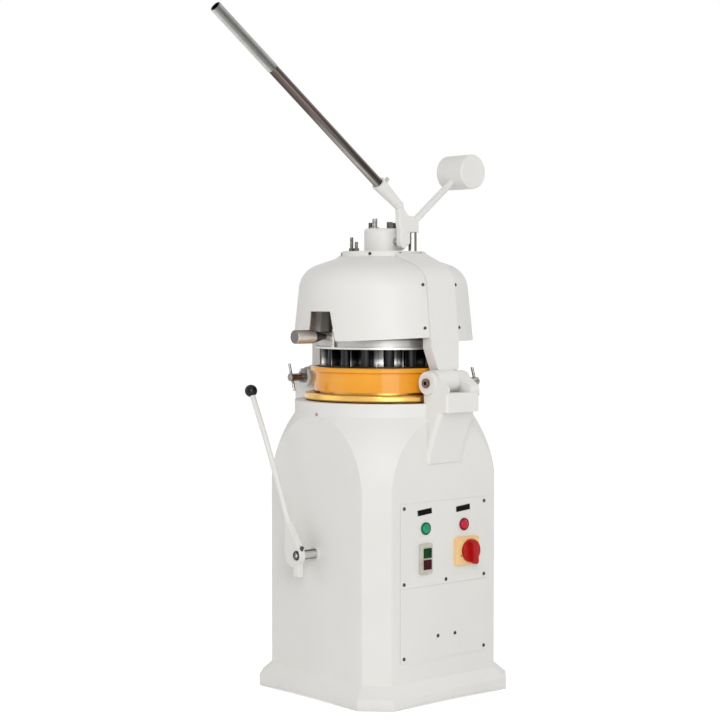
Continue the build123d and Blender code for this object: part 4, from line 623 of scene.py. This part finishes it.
# Painted reflection: bands across the tube near the socket.
socket_end_reflection = ramp(
    tree, across, (0.02, (0.11, 0.10, 0.09)), (0.10, (0.53, 0.52, 0.50)), (0.24, (0.40, 0.39, 0.37)),
    (0.36, (0.115, 0.105, 0.098)), (0.48, (0.050, 0.043, 0.039)), (0.82, (0.050, 0.043, 0.038)),
    (0.97, (0.14, 0.12, 0.11)),
)
distance = reach_along(tree, turned(tree, place, MOUTH), (0.0, -math.cos(SLOPE), math.sin(SLOPE)))
toward_grip = ramp(tree, between(tree, distance, SOCKET_LOOK_END, GRIP_LOOK_START), (0.0, 0.0), (1.0, 1.0))
tone = blend(tree, "MIX", toward_grip, socket_end_reflection, grip_end_reflection)
rub = ramp(tree, noise(tree, along_tube(tree, place, (40, 40, 6)), 1.0, 5.0), (0.35, 0.82), (0.65, 1.0))
tree.links.new(blend(tree, "MULTIPLY", 1.0, tone, rub), shader.inputs["Base Color"])
tree.links.new(ramp(tree, streak, (0.35, 0.16), (0.7, 0.28)), shader.inputs["Roughness"])
tree.links.new(relief(tree, streak, 0.12, 0.0002), shader.inputs["Normal"])
give(tube_chrome, "lever_tube")
print("tube finish:", tube_chrome.name)

# %% [markdown]
# The stop post of the head is upright chrome. Its dark and bright bands are painted reflections that run
# along it: a ramp across the post, from its left edge to its right edge as seen from the front right.

# %% Stop post
POST_AXIS = (0.105, 0.032, 1.44)
POST_RADIUS = 0.0135
POST_WAVER = 0.004
RIGHT_OF_POST = (0.667, 0.745, 0.0)

post_chrome, tree, shader, place = new_finish("post_chrome", metallic=1.0)
streak = noise(tree, turned(tree, place, scale=(200, 200, 3)), 1.0, 3.0)
offset = reach_along(tree, turned(tree, place, POST_AXIS), RIGHT_OF_POST)
uneven = math_node(tree, "MULTIPLY", math_node(tree, "SUBTRACT", streak, 0.5), POST_WAVER)
across = between(tree, math_node(tree, "ADD", offset, uneven), -POST_RADIUS, POST_RADIUS)
# Painted reflection: dark and bright bands across the post.
tone = ramp(
    tree, across, (0.03, (0.26, 0.19, 0.16)), (0.16, (0.11, 0.080, 0.066)), (0.32, (0.74, 0.73, 0.72)),
    (0.62, (0.88, 0.87, 0.86)), (0.78, (0.13, 0.095, 0.080)), (0.95, (0.26, 0.20, 0.17)),
)
tree.links.new(tone, shader.inputs["Base Color"])
tree.links.new(ramp(tree, streak, (0.3, 0.12), (0.7, 0.24)), shader.inputs["Roughness"])
give(post_chrome, "stop_post")
print("post finish:", post_chrome.name)

# %% [markdown]
# The grip sleeve of the lever is satin steel with the same kind of ramp across it, which paints bands
# of reflection along it. Patches of stretched noise dull it where hands have held it.

# %% Lever grip
grip_satin, tree, shader, place = new_finish("grip_satin", metallic=1.0)
streak = noise(tree, along_tube(tree, place, (190, 190, 5)), 1.0, 4.0, 0.6)
# Painted reflection: bands across the grip.
tone = ramp(
    tree, across_tube(tree, place, streak), (0.06, (0.62, 0.61, 0.59)), (0.26, (0.25, 0.25, 0.24)),
    (0.55, (0.115, 0.115, 0.11)), (0.78, (0.29, 0.29, 0.28)), (0.95, (0.42, 0.415, 0.405)),
)
patches = noise(tree, along_tube(tree, place, (60, 60, 22)), 1.0, 5.0, 0.65)
worn = ramp(tree, patches, (0.45, 0.80), (0.7, 1.0))
tree.links.new(blend(tree, "MULTIPLY", 1.0, tone, worn), shader.inputs["Base Color"])
tree.links.new(ramp(tree, streak, (0.3, 0.36), (0.7, 0.50)), shader.inputs["Roughness"])
tree.links.new(relief(tree, streak, 0.2, 0.00015), shader.inputs["Normal"])
give(grip_satin, "lever_grip")
print("grip finish:", grip_satin.name)

# %% [markdown]
# The dough ring is sprayed in a thick, glossy orange. A clear coat on the shader gives its sharp
# highlights, and an ambient occlusion mask deepens the colour under the lip and in the corners as painted
# shade.

# %% Orange ring
ring_orange, tree, shader, place = new_finish("ring_orange", roughness=0.28)
tone = ramp(tree, noise(tree, place, 7.0, 4.0), (0.3, (0.88, 0.355, 0.016)), (0.7, (0.94, 0.41, 0.028)))
corner_shade = ramp(tree, painted_shade_mask(tree, 0.03), (0.12, (0.55, 0.20, 0.02)), (0.6, (1.0, 1.0, 1.0)))
tree.links.new(blend(tree, "MULTIPLY", 1.0, tone, corner_shade), shader.inputs["Base Color"])
tree.links.new(relief(tree, noise(tree, place, 480.0, 2.0), 0.2, 0.0001), shader.inputs["Normal"])
shader.inputs["Coat Weight"].default_value = 0.5
shader.inputs["Coat Roughness"].default_value = 0.07
shader.inputs["Specular IOR Level"].default_value = 0.1
give(ring_orange, "dough_ring")
print("ring finish:", ring_orange.name)

# %% [markdown]
# Moulded plastic has a fine spark-eroded grain and a slightly uneven gloss. One helper makes every
# plastic of the machine, from the black press blocks to the switch keys, with its own colour, gloss
# and grain. The two button rings are one part, so the side of the part decides between green and red.
# The drive inside the cabinet has a plain machine paint of its own.

# %% Plastics and machine paint


def plastic(name, dark, light, rough, grain=900.0, deep=0.00008, coat=0.0, specular=0.15):
    """Moulded plastic in two close tones."""
    finish, tree, shader, place = new_finish(name)
    tone = ramp(tree, noise(tree, place, 45.0, 4.0), (0.3, dark), (0.7, light))
    # Painted shade: an ambient occlusion mask darkens the plastic in corners and seams.
    tone = blend(tree, "MULTIPLY", 1.0, tone, ramp(tree, painted_shade_mask(tree, 0.012), (0.1, 0.45), (0.6, 1.0)))
    tree.links.new(tone, shader.inputs["Base Color"])
    shine = ramp(tree, noise(tree, place, 60.0, 3.0), (0.3, rough), (0.7, rough + 0.1))
    tree.links.new(shine, shader.inputs["Roughness"])
    tree.links.new(relief(tree, noise(tree, place, grain, 2.0), 0.2, deep), shader.inputs["Normal"])
    shader.inputs["Coat Weight"].default_value = coat
    shader.inputs["Coat Roughness"].default_value = 0.1
    shader.inputs["Specular IOR Level"].default_value = specular
    return finish


give(plastic("block_black", (0.006, 0.006, 0.008), (0.014, 0.014, 0.017), 0.32, specular=0.3), "press_blocks")
give(plastic("ball_black", (0.004, 0.004, 0.005), (0.009, 0.009, 0.010), 0.16, coat=0.2), "round_knob")
give(plastic("label_black", (0.004, 0.004, 0.004), (0.008, 0.007, 0.007), 0.5, specular=0.04), "label_plates")
give(plastic("gland_black", (0.012, 0.012, 0.012), (0.024, 0.024, 0.024), 0.45), "cable_gland")
give(plastic("plug_brown", (0.30, 0.24, 0.215), (0.42, 0.35, 0.32), 0.5), "front_plug")
give(plastic("switch_beige", (0.52, 0.50, 0.44), (0.62, 0.60, 0.54), 0.38), "switch_box")
give(plastic("key_green", (0.003, 0.032, 0.010), (0.006, 0.060, 0.020), 0.30, specular=0.08), "switch_on_key")
give(plastic("key_red", (0.036, 0.003, 0.005), (0.064, 0.007, 0.010), 0.30, specular=0.08), "switch_off_key")
give(plastic("plate_yellow", (0.91, 0.60, 0.27), (0.94, 0.66, 0.33), 0.30, coat=0.05), "isolator_plate")
give(plastic("knob_red", (0.40, 0.007, 0.007), (0.50, 0.012, 0.010), 0.28, coat=0.08), "isolator_knob")
give(plastic("cap_green", (0.002, 0.235, 0.105), (0.005, 0.35, 0.165), 0.16, coat=0.2), "green_button")
give(plastic("cap_red", (0.50, 0.002, 0.026), (0.64, 0.006, 0.048), 0.16, coat=0.2), "red_button")
ring_paint = plastic("bezel_paint", (0.004, 0.085, 0.045), (0.008, 0.125, 0.066), 0.22, coat=0.1)
tree = ring_paint.node_tree
shader = tree.nodes["Principled BSDF"]
green = tone_of(shader)
place = tree.nodes["Texture Coordinate"].outputs["Object"]
red = ramp(tree, noise(tree, place, 45.0, 4.0), (0.3, (0.17, 0.006, 0.016)), (0.7, (0.25, 0.010, 0.026)))
red_side = math_node(tree, "GREATER_THAN", split_xyz(tree, place)[1], 0.0)
tree.links.new(blend(tree, "MIX", red_side, green, red), shader.inputs["Base Color"])
give(ring_paint, "button_bezels")
give(plastic("board_white", (0.74, 0.725, 0.69), (0.80, 0.79, 0.76), 0.42), "dough_plate", "table_pads")
give(plastic("belt_black", (0.014, 0.014, 0.014), (0.030, 0.029, 0.028), 0.70, 500.0, 0.0002), "drive_belt")

drive_iron, tree, shader, place = new_finish("drive_iron", roughness=0.55)
tone = ramp(tree, noise(tree, place, 30.0, 5.0), (0.3, (0.075, 0.085, 0.095)), (0.7, (0.13, 0.145, 0.155)))
tree.links.new(tone, shader.inputs["Base Color"])
tree.links.new(relief(tree, noise(tree, place, 260.0, 3.0), 0.4, 0.0003), shader.inputs["Normal"])
give(drive_iron, "motor", "bearing_housing", "drive_pulley", "motor_pulley")
print("finishes so far:", len(bpy.data.materials))

# %% [markdown]
# Screws repeat, so Geometry Nodes place them. The points of a small mesh say where each screw goes,
# and an attribute named facing says which way its head looks. The tree builds one head from
# primitives, cuts its recess with a Boolean, puts a copy on every point and turns it. Realize
# Instances and Set Material come last, because an export keeps only real meshes.

# %% Geometry Nodes helpers


def new_tree(name, **sizes):
    """A node group with a geometry input and output and one named input per size."""
    group = bpy.data.node_groups.new(name, "GeometryNodeTree")
    group.interface.new_socket("Geometry", in_out="INPUT", socket_type="NodeSocketGeometry")
    for label, value in sizes.items():
        shown = label.replace("_", " ")
        socket = group.interface.new_socket(shown, in_out="INPUT", socket_type="NodeSocketFloat")
        socket.default_value = value
    group.interface.new_socket("Geometry", in_out="OUTPUT", socket_type="NodeSocketGeometry")
    return group, group.nodes.new("NodeGroupInput"), group.nodes.new("NodeGroupOutput")


def add_node(group, kind, **links):
    """A node with values or outputs put on its inputs by name."""
    node = group.nodes.new(kind)
    for label, value in links.items():
        socket = node.inputs[label.replace("_", " ")]
        if isinstance(value, bpy.types.NodeSocket):
            group.links.new(value, socket)
        else:
            socket.default_value = value
    return node


def times(group, first, second):
    """The product of two sizes."""
    node = group.nodes.new("ShaderNodeMath")
    node.operation = "MULTIPLY"
    for socket, value in zip(node.inputs, (first, second)):
        if isinstance(value, (int, float)):
            socket.default_value = value
        else:
            group.links.new(value, socket)
    return node.outputs[0]


def triple(group, x, y, z):
    """Three sizes as one vector."""
    return add_node(group, "ShaderNodeCombineXYZ", X=x, Y=y, Z=z).outputs[0]


def place_copies(group, inlet, outlet, shape, finish):
    """Puts a shape on every point, turned to its facing, and ends the tree."""
    facing = group.nodes.new("GeometryNodeInputNamedAttribute")
    facing.data_type = "FLOAT_VECTOR"
    facing.inputs["Name"].default_value = "facing"
    turn = group.nodes.new("FunctionNodeAlignRotationToVector")
    turn.axis = "Z"
    group.links.new(facing.outputs["Attribute"], turn.inputs["Vector"])
    copies = add_node(group, "GeometryNodeInstanceOnPoints", Points=inlet.outputs["Geometry"], Instance=shape)
    group.links.new(turn.outputs[0], copies.inputs["Rotation"])
    real = add_node(group, "GeometryNodeRealizeInstances", Geometry=copies.outputs[0])
    paint = add_node(group, "GeometryNodeSetMaterial", Geometry=real.outputs[0])
    paint.inputs["Material"].default_value = finish
    group.links.new(paint.outputs[0], outlet.inputs["Geometry"])


def make_copies(name, group, spots, body, slot, **sizes):
    """Runs a tree on points with their facing and keeps the result as one plain mesh on a body."""
    mesh = bpy.data.meshes.new(name + "_points")
    mesh.from_pydata([spot for spot, out in spots], [], [])
    facing = mesh.attributes.new("facing", "FLOAT_VECTOR", "POINT")
    for item, (spot, out) in zip(facing.data, spots):
        item.vector = out
    piece = bpy.data.objects.new(name, mesh)
    scene.collection.objects.link(piece)
    modifier = piece.modifiers.new("copies", "NODES")
    modifier.node_group = group
    for item in group.interface.items_tree:
        if item.item_type == "SOCKET" and item.in_out == "INPUT" and item.name in sizes:
            modifier[item.identifier] = sizes[item.name]
    evaluated = piece.evaluated_get(bpy.context.evaluated_depsgraph_get())
    solid = bpy.data.meshes.new_from_object(evaluated)
    piece.modifiers.clear()
    piece.data = solid
    solid.name = name
    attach(piece, body)
    print(name, "faces:", len(solid.polygons))
    return piece


print("geometry helpers ready")

# %% [markdown]
# The panels are held by pan-head screws with a cross recess. A flattened sphere is the head, and two
# crossed boxes cut the recess. The lower half of the sphere is inside the panel and never shows.

# %% Panel screws
PANEL_FACE = 0.2905
PANEL_EDGE = 0.173
PANEL_ROWS = (0.613, 0.378, 0.147)
MIDDLE_SCREWS = [(0.005, 0.378), (-0.029, 0.203), (0.045, 0.203)]
RECESS_LENGTH = 1.25
RECESS_WIDTH = 0.26

pan_tree, inlet, outlet = new_tree("pan_head", Head_radius=0.006, Head_height=0.0032)
radius = inlet.outputs["Head radius"]
height = inlet.outputs["Head height"]
ball = add_node(pan_tree, "GeometryNodeMeshUVSphere", Segments=24, Rings=12, Radius=1.0)
flat = triple(pan_tree, radius, radius, height)
dome = add_node(pan_tree, "GeometryNodeTransform", Geometry=ball.outputs[0], Scale=flat)
cut = add_node(pan_tree, "GeometryNodeMeshBoolean")
cut.operation = "DIFFERENCE"
pan_tree.links.new(dome.outputs[0], cut.inputs["Mesh 1"])
long_side = times(pan_tree, radius, RECESS_LENGTH)
short_side = times(pan_tree, radius, RECESS_WIDTH)
lift = triple(pan_tree, 0.0, 0.0, height)
for wide, deep in ((long_side, short_side), (short_side, long_side)):
    bar = add_node(pan_tree, "GeometryNodeMeshCube", Size=triple(pan_tree, wide, deep, height))
    lifted = add_node(pan_tree, "GeometryNodeTransform", Geometry=bar.outputs[0], Translation=lift)
    pan_tree.links.new(lifted.outputs[0], cut.inputs["Mesh 2"])
place_copies(pan_tree, inlet, outlet, cut.outputs[0], dark_steel)

edge_screws = [(side * PANEL_EDGE, row) for side in (-1, 1) for row in PANEL_ROWS]
panel_spots = [((PANEL_FACE, y, z), (1, 0, 0)) for y, z in edge_screws + MIDDLE_SCREWS]
panel_heads = make_copies("panel_screw_heads", pan_tree, panel_spots, "base", "dark_steel")
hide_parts("panel_screws")

# %% [markdown]
# The covers are held by socket screws in spot faces: on each half four round the collar and two beside
# each seam. Their places follow the cone of the cover's side, whose slope is known from the front cover.

# %% Cover screws
COLLAR_ANGLES = (19, 60)
COLLAR_RADIUS = 0.1373
COLLAR_SCREW_Z = 1.402
SEAM_ANGLE = 15
SEAM_SCREWS_Z = (1.168, 1.303)
HEAD_LIFT = 0.0003
SOCKET_SHARE = 0.56
SOCKET_LIFT = 0.35

socket_tree, inlet, outlet = new_tree("socket_head", Head_radius=0.005, Head_height=0.0025)
radius = inlet.outputs["Head radius"]
height = inlet.outputs["Head height"]
drum = add_node(socket_tree, "GeometryNodeMeshCylinder", Vertices=24, Radius=radius, Depth=height)
key_size = times(socket_tree, radius, SOCKET_SHARE)
hexagon = add_node(socket_tree, "GeometryNodeMeshCylinder", Vertices=6, Radius=key_size, Depth=height)
lift = triple(socket_tree, 0.0, 0.0, times(socket_tree, height, SOCKET_LIFT))
raised = add_node(socket_tree, "GeometryNodeTransform", Geometry=hexagon.outputs[0], Translation=lift)
cut = add_node(socket_tree, "GeometryNodeMeshBoolean")
cut.operation = "DIFFERENCE"
socket_tree.links.new(drum.outputs[0], cut.inputs["Mesh 1"])
socket_tree.links.new(raised.outputs[0], cut.inputs["Mesh 2"])
place_copies(socket_tree, inlet, outlet, cut.outputs[0], dark_steel)


def outward(across, along, degrees):
    """The level direction at an angle from the X axis, in one quarter of the circle."""
    angle = math.radians(degrees)
    return Vector((across * math.cos(angle), along * math.sin(angle), 0))


cover_spots = []
for across, along in ((-1, -1), (-1, 1), (1, -1), (1, 1)):
    for angle in COLLAR_ANGLES:
        out = outward(across, along, angle)
        cover_spots.append((tuple(out * COLLAR_RADIUS + Vector((0, 0, COLLAR_SCREW_Z))), tuple(out)))
    for seam_z in SEAM_SCREWS_Z:
        out = outward(across, along, SEAM_ANGLE)
        side_radius = COVER_FOOT_RADIUS - SIDE_SLOPE * (seam_z - COVER_FOOT_Z)
        lean = (out + Vector((0, 0, SIDE_SLOPE))).normalized()
        spot = out * side_radius + Vector((0, 0, seam_z)) + lean * HEAD_LIFT
        cover_spots.append((tuple(spot), tuple(lean)))
cover_heads = make_copies("cover_screw_heads", socket_tree, cover_spots, "head", "dark_steel")
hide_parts("cover_screws")

# %% [markdown]
# The studs on top of the head are threaded. A spiral curve with a thin three-sided profile is a real
# thread, and Curve to Mesh makes it solid. The same tree serves the two adjusting studs of the head,
# of which one is shorter, and the top end of the rack, which moves with the press, so it runs three
# times with its own sizes.

# %% Threads
UPWARD = (0, 0, 1)
TALL_STUD = (-0.0205, -0.118, 1.4202)
SHORT_STUD = (0.0025, -0.118, 1.4202)
RACK_END = (0.0, -0.037, 1.4885)

thread_tree, inlet, outlet = new_tree("thread", Stud_radius=0.005, Length=0.035, Turns=23.0, Ridge=0.0007)
spiral = add_node(
    thread_tree, "GeometryNodeCurveSpiral", Resolution=20, Rotations=inlet.outputs["Turns"],
    Start_Radius=inlet.outputs["Stud radius"], End_Radius=inlet.outputs["Stud radius"],
    Height=inlet.outputs["Length"],
)
ridge = add_node(thread_tree, "GeometryNodeCurvePrimitiveCircle", Resolution=3, Radius=inlet.outputs["Ridge"])
wire = add_node(
    thread_tree, "GeometryNodeCurveToMesh", Curve=spiral.outputs[0], Profile_Curve=ridge.outputs[0],
    Fill_Caps=True,
)
place_copies(thread_tree, inlet, outlet, wire.outputs[0], rack_steel)
make_copies("stud_threads", thread_tree, [(TALL_STUD, UPWARD)], "head", "dark_steel")
make_copies(
    "short_stud_thread", thread_tree, [(SHORT_STUD, UPWARD)], "head", "dark_steel",
    **{"Length": 0.020, "Turns": 13.0},
)
make_copies(
    "rack_thread", thread_tree, [(RACK_END, UPWARD)], "press", "bright_steel",
    **{"Stud radius": 0.008, "Length": 0.028, "Turns": 14.0},
)
